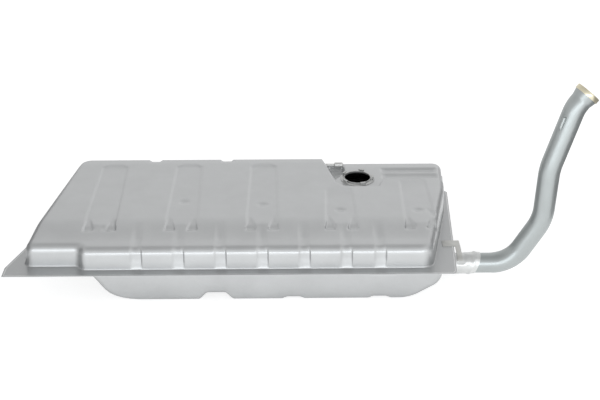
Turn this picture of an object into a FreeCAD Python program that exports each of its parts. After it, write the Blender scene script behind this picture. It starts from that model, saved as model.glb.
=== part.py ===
import FreeCAD, Part
import math
import os
import Sketcher
from FreeCAD import Placement, Rotation, Vector

# A pressed steel fuel tank with its filler neck, in millimetres.
# X runs along the tank towards the filler neck, Y from the front to the back, Z upwards.
# The origin is on the underside, below the middle rib and 245 behind the front wall's foot.

doc = FreeCAD.newDocument("fuel_tank")
sizes = doc.addObject("Spreadsheet::Sheet", "sizes")

SIZES = [
    ("sheet", 1.0, "thickness of the pressed sheet"),
    ("seam_level", 100, "where the two pans meet"),
    ("lip_height", 60, "height of the low front strip above the seam"),
    ("top_height", 74, "height of the plateau above the seam"),
    ("lip_run", 59, "from the front wall to the back end of the low strip"),
    ("slope_run", 68, "length of the slope up to the plateau"),
    ("slope_blend", 260, "radius between strip, slope and plateau"),
    ("top_round", 20, "radius of the upper pan's top edge"),
    ("foot_round", 5, "radius between the upper pan's wall and its flange"),
    # The upper pan's wall where it meets the flange
    ("front_y", -245, "front wall"),
    ("back_y", 271, "back wall"),
    ("left_x", -615, "left wall at its front end"),
    ("right_x", 505, "right wall at its bend"),
    ("set_back", 19, "how far the left end of the front wall is set back"),
    ("step_x", -457, "where the front wall steps back"),
    ("step_run", 16, "length of that step along the wall"),
    ("left_slant", 83, "how far the left wall's back end is set in"),
    ("right_slant", 67, "how far the right wall's front end is set in"),
    ("right_bend_y", 70, "where the right wall bends"),
    ("right_flare", 14, "how far the right wall's back end lies outside its bend"),
    ("left_draft", 5, "lean of the left wall over its height"),
    ("front_draft", 6, "lean of the front wall"),
    ("right_draft", 2, "lean of the right wall"),
    ("back_draft", 4, "lean of the back wall"),
    ("corner_round", 28, "radius of the pan's upright corners"),
    ("step_round", 10, "radius of the inside corner of the step"),
    # The flange, the same outline on both pans, by its width outside the wall
    ("flange_front", 27, "width in front"),
    ("flange_back", 21, "width at the back"),
    ("flange_left", 22, "width at the left back corner"),
    ("flange_right", 12, "width beside the wing, from the wall's bend"),
    ("flange_corner", 7, "width at the right back corner"),
    ("ear_reach", 44.5, "width at the tip of the left ear"),
    ("ear_edge", 42, "length of the ear's blunt tip"),
    ("ear_root", 7, "width where the ear ends"),
    ("ear_run", 127, "how far behind the front wall the ear ends"),
    ("wing_reach", 22, "width at the back end of the right wing"),
    ("wing_root", 2, "width at the front end of the right wing"),
    ("wing_run", 112, "how far behind the front wall the wing starts"),
    ("wing_back", 97, "how far in front of the back wall the wing ends"),
    ("toe_reach", 52, "width at the right end of the flange's front edge"),
    ("toe_cut", 8, "corner cut at that end"),
    ("back_cut", 18, "corner cut at the right back corner"),
    ("hem_left", 272, "left end of the part of the front edge that is folded down"),
    ("hem_width", 71, "width of that part"),
    ("hem_drop", 5, "how far it is folded down"),
    # Ribs across the plateau
    ("rib_pitch_left", 212, "spacing of the ribs left of the middle one"),
    ("rib_pitch_right", 208.5, "spacing of the ribs right of it"),
    ("rib_depth", 5.5, "depth of a rib"),
    ("rib_back_width", 75, "width of a rib at its back end"),
    ("rib_front_width", 92, "width of a rib at its front end"),
    ("rib_front_run", 83, "from the front wall to the ribs' front ends"),
    ("rib_back_gap", 55, "from the long ribs' back ends to the back wall"),
    ("rib_seat_gap", 12, "from the short ribs' back ends to the sender's seat"),
    ("rib_wall_slope", 45, "slope of a rib's wall in degrees"),
    ("rib_corner", 14, "corner cut at a rib's back end"),
    ("pocket_width", 26, "width of the small pockets at a rib's front end"),
    ("pocket_run", 46, "length of those pockets"),
    ("pocket_depth", 6, "depth of those pockets below the slope"),
    ("pocket_edge", 3, "from a pocket to the side of its rib"),
    ("pocket_front", 18, "from a pocket to the front end of its rib"),
    # Short grooves over the front edge
    ("groove_first_x", -322, "centre of the left groove"),
    ("groove_pitch", 107.5, "spacing of the grooves"),
    ("groove_last_gap", 87, "spacing of the last two grooves"),
    ("groove_width", 36, "width of a groove"),
    ("groove_depth", 5, "depth of a groove"),
    ("groove_run", 111, "from the front wall to the back end of a groove"),
    ("groove_rise", 10, "how far a groove's back end lies above the low strip"),
    ("groove_foot", 14, "how far above the seam a groove or notch ends"),
    ("groove_round", 22, "radius of a groove or notch over the pan's edge"),
    # Weld dimples above the slosh plate
    ("dimple_radius", 14, "radius of a dimple"),
    ("dimple_depth", 1.6, "depth of a dimple"),
    ("dimple_slope", 30, "slope of a dimple's wall from upright, in degrees"),
    # Notches in the back edge
    ("notch_first_x", -313, "centre of the left notch"),
    ("notch_pitch", 206, "spacing of the notches"),
    ("notch_width", 38, "width of a notch in the back edge"),
    ("notch_depth", 5, "depth of a notch"),
    ("notch_run", 45, "from the back wall to the front end of a notch"),
    # Opening for the fuel sender and the lowered seat round it
    ("sender_x", 266, "centre of the sender opening"),
    ("sender_gap", 119, "from that centre to the back wall"),
    ("sender_radius", 36.5, "radius of the sender opening"),
    ("seat_drop", 16.5, "depth of the seat below the plateau"),
    ("seat_left", 73.5, "from the opening to the seat's left end"),
    ("seat_corner", 26.5, "from the opening to the seat's left front corner"),
    ("seat_corner_cut", 26, "size of that cut corner"),
    ("seat_front", 40.5, "from the opening to the seat's front edge"),
    ("seat_turn", 18.5, "from the opening to the right end of that edge"),
    ("seat_turn_run", 17, "length of the slanted edge after it"),
    ("seat_step", 33, "from the opening's centre to the front edge at the right end"),
    ("seat_slope", 20, "slope of the seat's wall from upright, in degrees"),
    ("scoop_depth", 13, "depth of the scoop under the vent pipe"),
    ("scoop_slope", 15, "slope of the scoop's wall from upright, in degrees"),
    ("scoop_left_back", 86, "from the opening's centre left to the scoop's back end"),
    ("scoop_left_front", 62, "from that centre left to the scoop's front end"),
    ("scoop_front", 5, "from that centre forward to the scoop's front end"),
    ("scoop_right", 33, "from that centre left to the scoop's right side"),
    ("scoop_right_front", 46, "from that centre back to the front end of that side"),
    ("scoop_back", 3, "from the vent sleeve to the scoop's back side"),
    ("trough_depth", 5, "depth of the trough along the back right edge"),
    ("trough_slope", 40, "slope of the trough's wall from upright, in degrees"),
    ("trough_gap", 49, "from the trough to the back wall"),
    ("trough_width", 72, "width of the trough"),
    ("trough_left", 67, "from the opening's centre to the trough's left end"),
    ("trough_right", 5, "from the trough's right end to the right wall"),
    ("bead_width", 20, "width of the bead along the trough"),
    # Lower pan, by its distance inside the upper pan's wall
    ("pan_front", 5, "front wall"),
    ("pan_back", 8, "back wall"),
    ("pan_left", 62, "left wall, from the upper wall's back end"),
    ("pan_right", 39, "right wall"),
    ("pan_draft", 6, "lean of the front and back walls"),
    ("pan_left_rise", 68, "height of the slanted left end"),
    ("pan_left_run", 120, "length of the slanted left end"),
    ("pan_right_rise", 52, "height of the slanted right end"),
    ("pan_right_run", 82, "length of the slanted right end"),
    ("pan_bend", 75, "radius between the bottom and its slanted ends"),
    ("pan_shoulder", 32, "radius between a slanted end and its wall"),
    ("pan_round", 12, "radius of the lower pan's corners and bottom edge"),
    ("strap_channel_x", -120, "centre of the strap's channel"),
    ("strap_channel_floor", 48, "width at the top of the strap's channel"),
    ("strap_channel_mouth", 88, "width of that channel at the bottom"),
    ("strap_channel_depth", 20, "depth of that channel"),
    ("stiffener_x", 81, "centre of the first shallow channel"),
    ("stiffener_pitch", 225, "spacing of the shallow channels"),
    ("stiffener_floor", 34, "width at the top of a shallow channel"),
    ("stiffener_mouth", 57, "width of that channel at the bottom"),
    ("stiffener_depth", 5.5, "depth of a shallow channel"),
    # Fuel sender's locking ring
    ("ring_width", 11.5, "width of the locking ring's plate"),
    ("ring_thickness", 1.5, "thickness of that plate"),
    ("ring_wall_height", 4, "height of the ring's upright wall"),
    ("tab_height", 9, "height of the locking tabs"),
    ("tab_reach", 6, "how far a tab reaches inwards"),
    ("tab_width", 16, "width of a tab"),
    ("tab_edge", 2, "from a tab to the plate's edge"),
    ("ring_clearance", 1.5, "gap round the opening in the pan"),
    # Vent pipe
    ("vent_radius", 4, "outer radius of the vent pipe"),
    ("vent_wall", 0.8, "wall of the vent pipe"),
    ("vent_length", 126, "length of the vent pipe"),
    ("vent_gap", 41, "from the vent pipe's axis to the back wall"),
    ("vent_rise", 5, "height of that axis above the seat"),
    ("vent_hole_gap", 0.3, "gap round the pipe in the pan"),
    ("sleeve_radius", 7.5, "outer radius of the sleeve"),
    ("sleeve_length", 25, "length of the sleeve"),
    ("sleeve_end", 37, "from the sender opening's centre left to the sleeve's end"),
    ("sleeve_nose", 7, "from the pipe's end to the sleeve's end"),
    # Filler neck
    ("neck_radius", 25.5, "outer radius of the neck"),
    ("neck_wall", 1.2, "wall of the neck"),
    ("neck_front", 74, "from the front wall to the neck's axis at the tank"),
    ("neck_lap", 6, "how far the neck's end is outside its ferrule"),
    ("ferrule_wall", 1.3, "wall of the ferrule at the tank"),
    ("ferrule_gap", 1, "gap between the ferrule and the flange above it"),
    ("ferrule_lap", 7.4, "how far the ferrule reaches inside the tank"),
    ("ferrule_reach", 108, "how far it reaches outside the lower pan"),
    ("ferrule_slant", 20, "slant of its outer end in degrees"),
    ("flare_step", 5.5, "how much the neck widens at its mouth"),
    ("flare_length", 16, "length of the flare"),
    ("collar_wall", 1.8, "wall of the mouth's collar"),
    ("collar_height", 13, "height of the collar"),
    ("collar_lap", 5, "how far the collar laps over the neck"),
    ("mouth_step", 3, "from the flared end's outside to the mouth"),
    ("nipple_radius", 4.5, "outer radius of the neck's vent nipple"),
    ("nipple_length", 30, "length of the nipple"),
    ("nipple_run", 110, "from the neck's third corner to the nipple"),
    ("fit_gap", 0.2, "gap between pieces that slide together"),
    # Neck bracket
    ("strap_thickness", 2, "thickness of the bracket"),
    ("strap_left", 28, "from the right wall to the bracket's left end"),
    ("strap_leg", 4, "from the right wall out to the bracket's leg"),
    ("strap_leg_width", 14, "width of the leg"),
    ("strap_back", 25, "from the wing's front end back to the bracket's back edge"),
    ("strap_front", 5, "from the wing's front end forward to its front edge"),
    ("strap_wrap", 45, "how far the leg wraps over the neck, in degrees"),
    # Slosh plate
    ("plate_y", -26, "how far back the slosh plate stands at the middle rib"),
    ("plate_turn", 4.9, "how far it is turned forward on the right, in degrees"),
    ("plate_step", 15, "how far the fourth rib's weld lies in front of the plate"),
    ("plate_left", 24, "from the second rib's centre to the left end"),
    ("plate_right", 21, "from the last rib's centre to the right end"),
    ("plate_bottom", 28, "lower edge of the slosh plate"),
    ("plate_cut", 44, "size of the cut lower right corner"),
    ("plate_hole_first_x", -161, "first hole through the slosh plate"),
    ("plate_hole_pitch", 120, "spacing of the holes"),
    ("plate_hole_z", 92, "height of the holes"),
    ("plate_hole_radius", 26, "radius of the holes"),
    ("foot_length", 34, "length of a welded foot"),
    ("foot_width", 18, "width of a welded foot"),
]

for row, (alias, number, meaning) in enumerate(SIZES, start=1):
    sizes.set(f"A{row}", meaning)
    sizes.set(f"B{row}", str(number))
    sizes.setAlias(f"B{row}", alias)
doc.recompute()


def mm(expression):
    """The value of an expression over the sheet's named sizes."""
    return float(sizes.evalExpression(expression))


def size(name):
    """One named size from the sheet."""
    return float(sizes.get(name))


# How far a cutting outline runs past the pans, and how far above a surface a cut starts
PAST = "40"
LIFT = "2"
# A coordinate of nothing, kept just above zero so that a sketch can hold it
NOTHING = "0.0001"

# Places that follow from the sizes
LIP = "(sizes.seam_level + sizes.lip_height)"
LIP_END = "(sizes.front_y + sizes.lip_run)"
TOP = "(sizes.seam_level + sizes.top_height)"
WALL = f"({TOP} - sizes.seam_level)"
PLATEAU = f"({LIP_END} + sizes.slope_run)"
LEFT_BACK = "(sizes.left_x + sizes.left_slant)"
RIGHT_FRONT = "(sizes.right_x - sizes.right_slant)"
RIGHT_BACK = "(sizes.right_x + sizes.right_flare)"
FLANGE_FRONT = "(sizes.front_y - sizes.flange_front)"
FLANGE_BACK = "(sizes.back_y + sizes.flange_back)"
FLANGE_RIGHT = "(sizes.right_x + sizes.flange_right)"
FLANGE_CORNER = f"({RIGHT_BACK} + sizes.flange_corner)"
ACROSS = f"2 * ({FLANGE_CORNER} - sizes.left_x + sizes.ear_reach)"
TOE = f"({RIGHT_FRONT} + sizes.toe_reach)"
EAR = "(sizes.left_x - sizes.ear_reach)"
WING_FRONT = "(sizes.front_y + sizes.wing_run)"
WING_BACK = "(sizes.back_y - sizes.wing_back)"
SENDER_Y = "(sizes.back_y - sizes.sender_gap)"
SEAT = f"({TOP} - sizes.seat_drop)"
SEAT_LEFT = "(sizes.sender_x - sizes.sender_radius - sizes.seat_left)"
SEAT_CORNER = "(sizes.sender_x - sizes.sender_radius - sizes.seat_corner)"
SEAT_TURN = "(sizes.sender_x + sizes.sender_radius + sizes.seat_turn)"
SEAT_FRONT = f"({SENDER_Y} - sizes.sender_radius - sizes.seat_front)"
SEAT_STEP = f"({SENDER_Y} - sizes.seat_step)"
TROUGH_BACK = "(sizes.back_y - sizes.trough_gap)"
TROUGH_FRONT = f"({TROUGH_BACK} - sizes.trough_width)"
TROUGH_LEFT = "(sizes.sender_x + sizes.trough_left)"
TROUGH_RIGHT = "(sizes.right_x - sizes.trough_right)"
RIB_FRONT = "(sizes.front_y + sizes.rib_front_run)"
PAN_FRONT = "(sizes.front_y + sizes.pan_front)"
PAN_BACK = "(sizes.back_y - sizes.pan_back)"
PAN_LEFT = f"({LEFT_BACK} + sizes.pan_left)"
PAN_RIGHT = "(sizes.right_x - sizes.pan_right)"
VENT_Y = "(sizes.back_y - sizes.vent_gap)"
VENT_Z = f"({SEAT} + sizes.vent_rise)"
SLEEVE_END = "(sizes.sender_x - sizes.sleeve_end)"
SLEEVE_START = f"({SLEEVE_END} - sizes.sleeve_length)"
VENT_END = f"({SLEEVE_END} - sizes.sleeve_nose)"
VENT_START = f"({VENT_END} - sizes.vent_length)"
RING_RADIUS = "(sizes.sender_radius + sizes.ring_width)"
FERRULE_RADIUS = "(sizes.neck_radius + sizes.fit_gap + sizes.ferrule_wall)"
FLARE_RADIUS = "(sizes.neck_radius + sizes.flare_step)"
COLLAR_RADIUS = f"({FLARE_RADIUS} + sizes.fit_gap + sizes.collar_wall)"
MOUTH_RADIUS = f"({FLARE_RADIUS} - sizes.mouth_step)"
NECK_Y = "(sizes.front_y + sizes.neck_front)"
NECK_Z = f"(sizes.seam_level - sizes.sheet - sizes.ferrule_gap - {FERRULE_RADIUS})"
STRAP_LEFT = "(sizes.right_x - sizes.strap_left)"
STRAP_LEG = "(sizes.right_x + sizes.strap_leg)"
STRAP_BACK = f"({WING_FRONT} + sizes.strap_back)"
STRAP_FRONT = f"({WING_FRONT} - sizes.strap_front)"
PLATE_LEFT = "(-sizes.rib_pitch_left - sizes.plate_left)"
PLATE_RIGHT = "(2 * sizes.rib_pitch_right + sizes.plate_right)"

RIBS = [
    ("-2 * sizes.rib_pitch_left", "(sizes.back_y - sizes.rib_back_gap)"),
    ("-sizes.rib_pitch_left", "(sizes.back_y - sizes.rib_back_gap)"),
    (NOTHING, "(sizes.back_y - sizes.rib_back_gap)"),
    ("sizes.rib_pitch_right", f"({SEAT_FRONT} - sizes.rib_seat_gap)"),
    ("2 * sizes.rib_pitch_right", f"({SEAT_STEP} - sizes.rib_seat_gap)"),
]
GROOVES = [f"sizes.groove_first_x + {step} * sizes.groove_pitch" for step in range(6)]
GROOVES.append("sizes.groove_first_x + 5 * sizes.groove_pitch + sizes.groove_last_gap")
# Where the slosh plate is welded to a rib: the rib's centre and how far in front of the plate
WELDS = [(RIBS[1][0], "0"), (RIBS[2][0], "0"), (RIBS[3][0], "sizes.plate_step"), (RIBS[4][0], "0")]
NOTCHES = [f"sizes.notch_first_x + {step} * sizes.notch_pitch" for step in range(2)]


def plate_at(x, step):
    """How far back the slosh plate stands at x, less a step forward."""
    return f"sizes.plate_y - ({x}) * tan(sizes.plate_turn) - {step}"


def new_body(label):
    body = doc.addObject("PartDesign::Body", label)
    body.Label = label
    return body


def plane(body, role):
    for feature in body.Origin.OriginFeatures:
        if feature.Role == role:
            return feature
    raise ValueError(role)


def outline(body, name, role, corners, offset="0"):
    """A closed sketch through corners whose coordinates are expressions."""
    sketch = body.newObject("Sketcher::SketchObject", name)
    sketch.AttachmentSupport = (plane(body, role), [""])
    sketch.MapMode = "FlatFace"
    sketch.setExpression("AttachmentOffset.Base.z", offset)
    points = [Vector(mm(x), mm(y), 0) for x, y in corners]
    count = len(points)
    for index in range(count):
        sketch.addGeometry(Part.LineSegment(points[index], points[(index + 1) % count]))
    for index in range(count):
        sketch.addConstraint(Sketcher.Constraint("Coincident", index, 2, (index + 1) % count, 1))
    for index, corner in enumerate(corners):
        for kind, expression in zip(("DistanceX", "DistanceY"), corner):
            number = mm(expression)
            place = sketch.addConstraint(Sketcher.Constraint(kind, -1, 1, index, 1, number))
            sketch.setExpression(f"Constraints[{place}]", expression)
    return sketch


def disc(body, name, role, x, y, radius, offset="0"):
    """A sketch with one circle."""
    sketch = body.newObject("Sketcher::SketchObject", name)
    sketch.AttachmentSupport = (plane(body, role), [""])
    sketch.MapMode = "FlatFace"
    sketch.setExpression("AttachmentOffset.Base.z", offset)
    sketch.addGeometry(Part.Circle(Vector(mm(x), mm(y), 0), Vector(0, 0, 1), mm(radius)))
    for kind, expression in (("DistanceX", x), ("DistanceY", y)):
        place = sketch.addConstraint(Sketcher.Constraint(kind, -1, 1, 0, 3, mm(expression)))
        sketch.setExpression(f"Constraints[{place}]", expression)
    place = sketch.addConstraint(Sketcher.Constraint("Radius", 0, mm(radius)))
    sketch.setExpression(f"Constraints[{place}]", radius)
    return sketch


def pad(body, name, sketch, length):
    feature = body.newObject("PartDesign::Pad", name)
    feature.Profile = sketch
    feature.setExpression("Length", length)
    return feature


def pocket(body, name, sketch, length, both_ways=False, taper="0"):
    feature = body.newObject("PartDesign::Pocket", name)
    feature.Refine = False
    feature.Profile = sketch
    feature.setExpression("Length", length)
    if both_ways:
        feature.Midplane = True
    feature.setExpression("TaperAngle", taper)
    return feature


def normal(face):
    """A face's normal at the middle of its parameters."""
    low_u, high_u, low_v, high_v = face.ParameterRange
    return face.normalAt((low_u + high_u) / 2, (low_v + high_v) / 2)


def upright(face):
    """How far a face's normal points up or down, from 0 to 1."""
    return abs(normal(face).z)


def lean(body, name, base, wanted, slope):
    """Leans the walls whose normal is wanted inwards, away from the seam's level."""
    seam = mm("sizes.seam_level")
    walls = []
    neutral = None
    for index, face in enumerate(base.Shape.Faces, start=1):
        if upright(face) < 0.5 and wanted(normal(face)):
            walls.append(f"Face{index}")
        elif abs(face.CenterOfMass.z - seam) < 0.01:
            neutral = f"Face{index}"
    feature = body.newObject("PartDesign::Draft", name)
    feature.Base = (base, walls)
    feature.NeutralPlane = (base, [neutral])
    feature.setExpression("Angle", f"atan({slope})")
    doc.recompute()
    return feature


def edges_between(shape, first, second, wanted):
    """Names of the edges whose two faces pass the two tests and whose middle is wanted."""
    names = []
    for index, edge in enumerate(shape.Edges, start=1):
        faces = shape.ancestorsOfType(edge, Part.Face)
        if len(faces) != 2 or not wanted(edge.CenterOfMass):
            continue
        one, two = upright(faces[0]), upright(faces[1])
        if (first(one) and second(two)) or (first(two) and second(one)):
            names.append(f"Edge{index}")
    return names


def is_wall(lift):
    return lift < 0.5


def is_level(lift):
    return lift > 0.9


def fillet(body, name, base, edges, radius):
    feature = body.newObject("PartDesign::Fillet", name)
    feature.Base = (base, edges)
    feature.setExpression("Radius", radius)
    return feature


# The upper pan's corners at the flange: x, y, and the share of the inset in x and y.
UPPER_CORNERS = [
    ("sizes.left_x", "sizes.front_y + sizes.set_back", 1.18, 1),
    ("sizes.step_x - sizes.step_run", "sizes.front_y + sizes.set_back", 0.45, 1),
    ("sizes.step_x", "sizes.front_y", 0.45, 1),
    (RIGHT_FRONT, "sizes.front_y", -0.81, 1),
    ("sizes.right_x", "sizes.right_bend_y", -0.99, 0.14),
    (RIGHT_BACK, "sizes.back_y", -1.07, -1),
    (LEFT_BACK, "sizes.back_y", 0.85, -1),
]


def inset_corners(corners, inset):
    return [(f"{x} + {share_x} * {inset}", f"{y} + {share_y} * {inset}")
            for x, y, share_x, share_y in corners]


FLANGE_CORNERS = [
    (EAR, FLANGE_FRONT),
    (TOE, FLANGE_FRONT),
    (f"{TOE} + sizes.toe_cut", f"{FLANGE_FRONT} + sizes.toe_cut"),
    ("sizes.right_x + sizes.wing_root", WING_FRONT),
    ("sizes.right_x + sizes.wing_reach", WING_BACK),
    (FLANGE_RIGHT, f"{WING_BACK} + sizes.wing_reach - sizes.flange_right"),
    (FLANGE_CORNER, f"{FLANGE_BACK} - sizes.back_cut"),
    (f"{FLANGE_CORNER} - sizes.back_cut", FLANGE_BACK),
    (f"{LEFT_BACK} - sizes.flange_left", FLANGE_BACK),
    ("sizes.left_x - sizes.ear_root", "sizes.front_y + sizes.ear_run"),
    (EAR, f"{FLANGE_FRONT} + sizes.ear_edge"),
]


def press_upper(label, inset):
    """The upper pan as pressed, or the space inside it when it is inset by the sheet."""
    body = new_body(label)
    foot = outline(body, f"{label}_foot", "XY_Plane", inset_corners(UPPER_CORNERS, inset),
                   "sizes.seam_level")
    form = pad(body, f"{label}_form", foot, f"{TOP} - {inset} - sizes.seam_level")
    doc.recompute()
    for side, wanted in (("left", lambda n: n.x < -0.9), ("right", lambda n: n.x > 0.9),
                         ("back", lambda n: n.y > 0.9), ("front", lambda n: n.y < -0.6)):
        form = lean(body, f"{label}_{side}_wall", form, wanted, f"sizes.{side}_draft / {WALL}")

    # The low strip along the front and the slope up to the plateau
    strip = outline(body, f"{label}_strip_profile", "YZ_Plane", [
        (f"{FLANGE_FRONT} - {PAST}", f"{LIP} - {inset}"),
        (LIP_END, f"{LIP} - {inset}"),
        (PLATEAU, f"{TOP} - {inset}"),
        (PLATEAU, f"{TOP} + {PAST}"),
        (f"{FLANGE_FRONT} - {PAST}", f"{TOP} + {PAST}"),
    ])
    cut = pocket(body, f"{label}_strip", strip, ACROSS, both_ways=True)
    doc.recompute()
    pan_length = mm(f"{RIGHT_FRONT} - {LEFT_BACK}")
    across = [f"Edge{index}" for index, edge in enumerate(cut.Shape.Edges, start=1)
              if edge.Length > 0.9 * pan_length and edge.CenterOfMass.z > mm(LIP) - 2
              and mm(LIP_END) - 5 < edge.CenterOfMass.y < mm(PLATEAU) + 5]
    slope = fillet(body, f"{label}_slope", cut, across, "sizes.slope_blend")
    doc.recompute()

    # The upright corners, then the rounded top edge all the way round
    step = mm("sizes.step_x - sizes.step_run")
    reach = 0.75 * size("step_run")
    inside_corner = edges_between(slope.Shape, is_wall, is_wall, lambda p: abs(p.x - step) < reach)
    inner = fillet(body, f"{label}_step_corner", slope, inside_corner, f"sizes.step_round + {inset}")
    doc.recompute()
    corners = edges_between(inner.Shape, is_wall, is_wall, lambda p: abs(p.x - step) > reach
                            and abs(p.y - size("right_bend_y")) > reach)
    rounded = fillet(body, f"{label}_corners", inner, corners, f"sizes.corner_round - {inset}")
    doc.recompute()
    rim = edges_between(rounded.Shape, is_wall, is_level,
                        lambda p: p.z > mm(LIP) - 3)
    last = fillet(body, f"{label}_top", rounded, rim, f"sizes.top_round - {inset}")
    doc.recompute()
    cut_seat(body, label, inset)
    cut_ribs(body, label, inset)
    cut_grooves(body, label, inset)
    cut_notches(body, label, inset)
    return body


def box_corners(left, right, front, back):
    return [(left, front), (right, front), (right, back), (left, back)]


def cut_seat(body, label, inset):
    """The lowered back right part that carries the fuel sender and the vent pipe."""
    seat = outline(body, f"{label}_seat_outline", "XY_Plane", [
        (f"{SEAT_LEFT} - {inset}", f"sizes.back_y + {PAST}"),
        (f"{SEAT_CORNER} - {inset}", f"{SEAT_FRONT} + sizes.seat_corner_cut - 0.4 * {inset}"),
        (f"{SEAT_CORNER} + sizes.seat_corner_cut - 0.4 * {inset}", f"{SEAT_FRONT} - {inset}"),
        (f"{SEAT_TURN} + {inset}", f"{SEAT_FRONT} - {inset}"),
        (f"{SEAT_TURN} + sizes.seat_turn_run + {inset}", f"{SEAT_STEP} - {inset}"),
        (f"{RIGHT_BACK} + {PAST}", f"{SEAT_STEP} - {inset}"),
        (f"{RIGHT_BACK} + {PAST}", f"sizes.back_y + {PAST}"),
    ], f"{TOP} + {LIFT}")
    pocket(body, f"{label}_seat", seat, f"{TOP} + {LIFT} - {SEAT} + {inset}", taper="-sizes.seat_slope")
    doc.recompute()

    # A trough along the back edge with a bead in its middle
    middle = f"({TROUGH_FRONT} + {TROUGH_BACK}) / 2"
    front = box_corners(f"{TROUGH_LEFT} - {inset}", f"{TROUGH_RIGHT} + {inset}",
                        f"{TROUGH_FRONT} - {inset}",
                        f"{middle} - sizes.bead_width / 2 + {inset}")
    back = box_corners(f"{TROUGH_LEFT} - {inset}", f"{TROUGH_RIGHT} + {inset}",
                       f"{middle} + sizes.bead_width / 2 - {inset}",
                       f"{TROUGH_BACK} + {inset}")
    for side, corners in (("front", front), ("back", back)):
        sketch = outline(body, f"{label}_trough_{side}_outline", "XY_Plane", corners,
                         f"{SEAT} + {LIFT}")
        pocket(body, f"{label}_trough_{side}", sketch, f"{LIFT} + sizes.trough_depth + {inset}",
               taper="-sizes.trough_slope")
    doc.recompute()

    # The scoop below the vent pipe
    scoop_back = f"{VENT_Y} + sizes.sleeve_radius + sizes.scoop_back + {inset}"
    scoop = outline(body, f"{label}_scoop_outline", "XY_Plane", [
        (f"sizes.sender_x - sizes.scoop_left_back - {inset}", scoop_back),
        (f"sizes.sender_x - sizes.scoop_left_front - {inset}", f"{SENDER_Y} - sizes.scoop_front - {inset}"),
        (f"sizes.sender_x - sizes.scoop_right + {inset}", f"{SENDER_Y} + sizes.scoop_right_front - {inset}"),
        (f"sizes.sender_x - sizes.scoop_right + {inset}", scoop_back),
    ], f"{SEAT} + {LIFT}")
    pocket(body, f"{label}_scoop", scoop, f"{LIFT} + sizes.scoop_depth + {inset}",
           taper="-sizes.scoop_slope")
    doc.recompute()


def cut_ribs(body, label, inset):
    """The wide shallow ribs, with a pair of small pockets at each front end."""
    for number, (centre, back) in enumerate(RIBS, start=1):
        half_back = f"(sizes.rib_back_width / 2 + {inset})"
        half_front = f"(sizes.rib_front_width / 2 + {inset})"
        rib = outline(body, f"{label}_rib_{number}_outline", "XY_Plane", [
            (f"{centre} - {half_front}", RIB_FRONT),
            (f"{centre} + {half_front}", RIB_FRONT),
            (f"{centre} + {half_back}", f"{back} - sizes.rib_corner"),
            (f"{centre} + {half_back} - sizes.rib_corner", f"{back} + {inset}"),
            (f"{centre} - {half_back} + sizes.rib_corner", f"{back} + {inset}"),
            (f"{centre} - {half_back}", f"{back} - sizes.rib_corner"),
        ], TOP)
        pocket(body, f"{label}_rib_{number}", rib, f"sizes.rib_depth + {inset}",
               taper="-sizes.rib_wall_slope")
        pocket_front = f"{RIB_FRONT} + sizes.pocket_front"
        for side, hand in (("left", "-1"), ("right", "1")):
            edge = "(sizes.rib_front_width / 2 - sizes.pocket_edge)"
            corner = outline(body, f"{label}_rib_{number}_{side}_corner", "XY_Plane", [
                (f"{centre} + {hand} * ({edge} + {inset})", f"{pocket_front} - {inset}"),
                (f"{centre} + {hand} * ({edge} - sizes.pocket_width - {inset})", f"{pocket_front} - {inset}"),
                (f"{centre} + {hand} * ({edge} - sizes.pocket_width / 2)",
                 f"{pocket_front} + sizes.pocket_run + 2 * {inset}"),
            ], TOP)
            pocket(body, f"{label}_rib_{number}_{side}_pocket", corner,
                   f"sizes.rib_depth + sizes.pocket_depth + {inset}")
        doc.recompute()
    for number, (centre, step) in enumerate(WELDS, start=1):
        dimple = disc(body, f"{label}_dimple_{number}_outline", "XY_Plane", centre, plate_at(centre, step),
                      f"sizes.dimple_radius + {inset}", f"{TOP} - sizes.rib_depth + {LIFT}")
        pocket(body, f"{label}_dimple_{number}", dimple, f"{LIFT} + sizes.dimple_depth + {inset}",
               taper="-sizes.dimple_slope")
    doc.recompute()


def over_edge(wall, face, floor, inwards, inset):
    """Corners of a cut from a wall's foot up its face and round a quarter circle to the floor."""
    leaning = f"{inwards} * (1 + {inset})"
    corners = [
        (f"{wall} - {inwards} * {PAST}", "sizes.seam_level + sizes.groove_foot"),
        (f"{wall} + {leaning}", "sizes.seam_level + sizes.groove_foot"),
        (face, "sizes.seam_level + 2 * sizes.groove_foot"),
    ]
    for turn in range(0, 91, 30):
        across = 1 - math.cos(math.radians(turn))
        down = 1 - math.sin(math.radians(turn))
        corners.append((f"{face} + {inwards} * {across:.4f} * (sizes.groove_round - {inset})",
                        f"{floor} - {down:.4f} * (sizes.groove_round - {inset})"))
    return corners


def cut_grooves(body, label, inset):
    """Short grooves that start on the slope and run down over the front edge."""
    face = f"(sizes.front_y + sizes.groove_depth + {inset})"
    floor = f"({LIP} - sizes.groove_depth - {inset})"
    for number, centre in enumerate(GROOVES, start=1):
        corners = over_edge("sizes.front_y", face, floor, "1", inset) + [
            (LIP_END, floor),
            ("sizes.front_y + sizes.groove_run", f"{LIP} + sizes.groove_rise"),
            ("sizes.front_y + sizes.groove_run", f"{TOP} + {PAST}"),
            (f"sizes.front_y - {PAST}", f"{TOP} + {PAST}"),
        ]
        profile = outline(body, f"{label}_groove_{number}_profile", "YZ_Plane", corners, centre)
        pocket(body, f"{label}_groove_{number}", profile, f"sizes.groove_width + 2 * {inset}",
               both_ways=True)
        doc.recompute()


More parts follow.
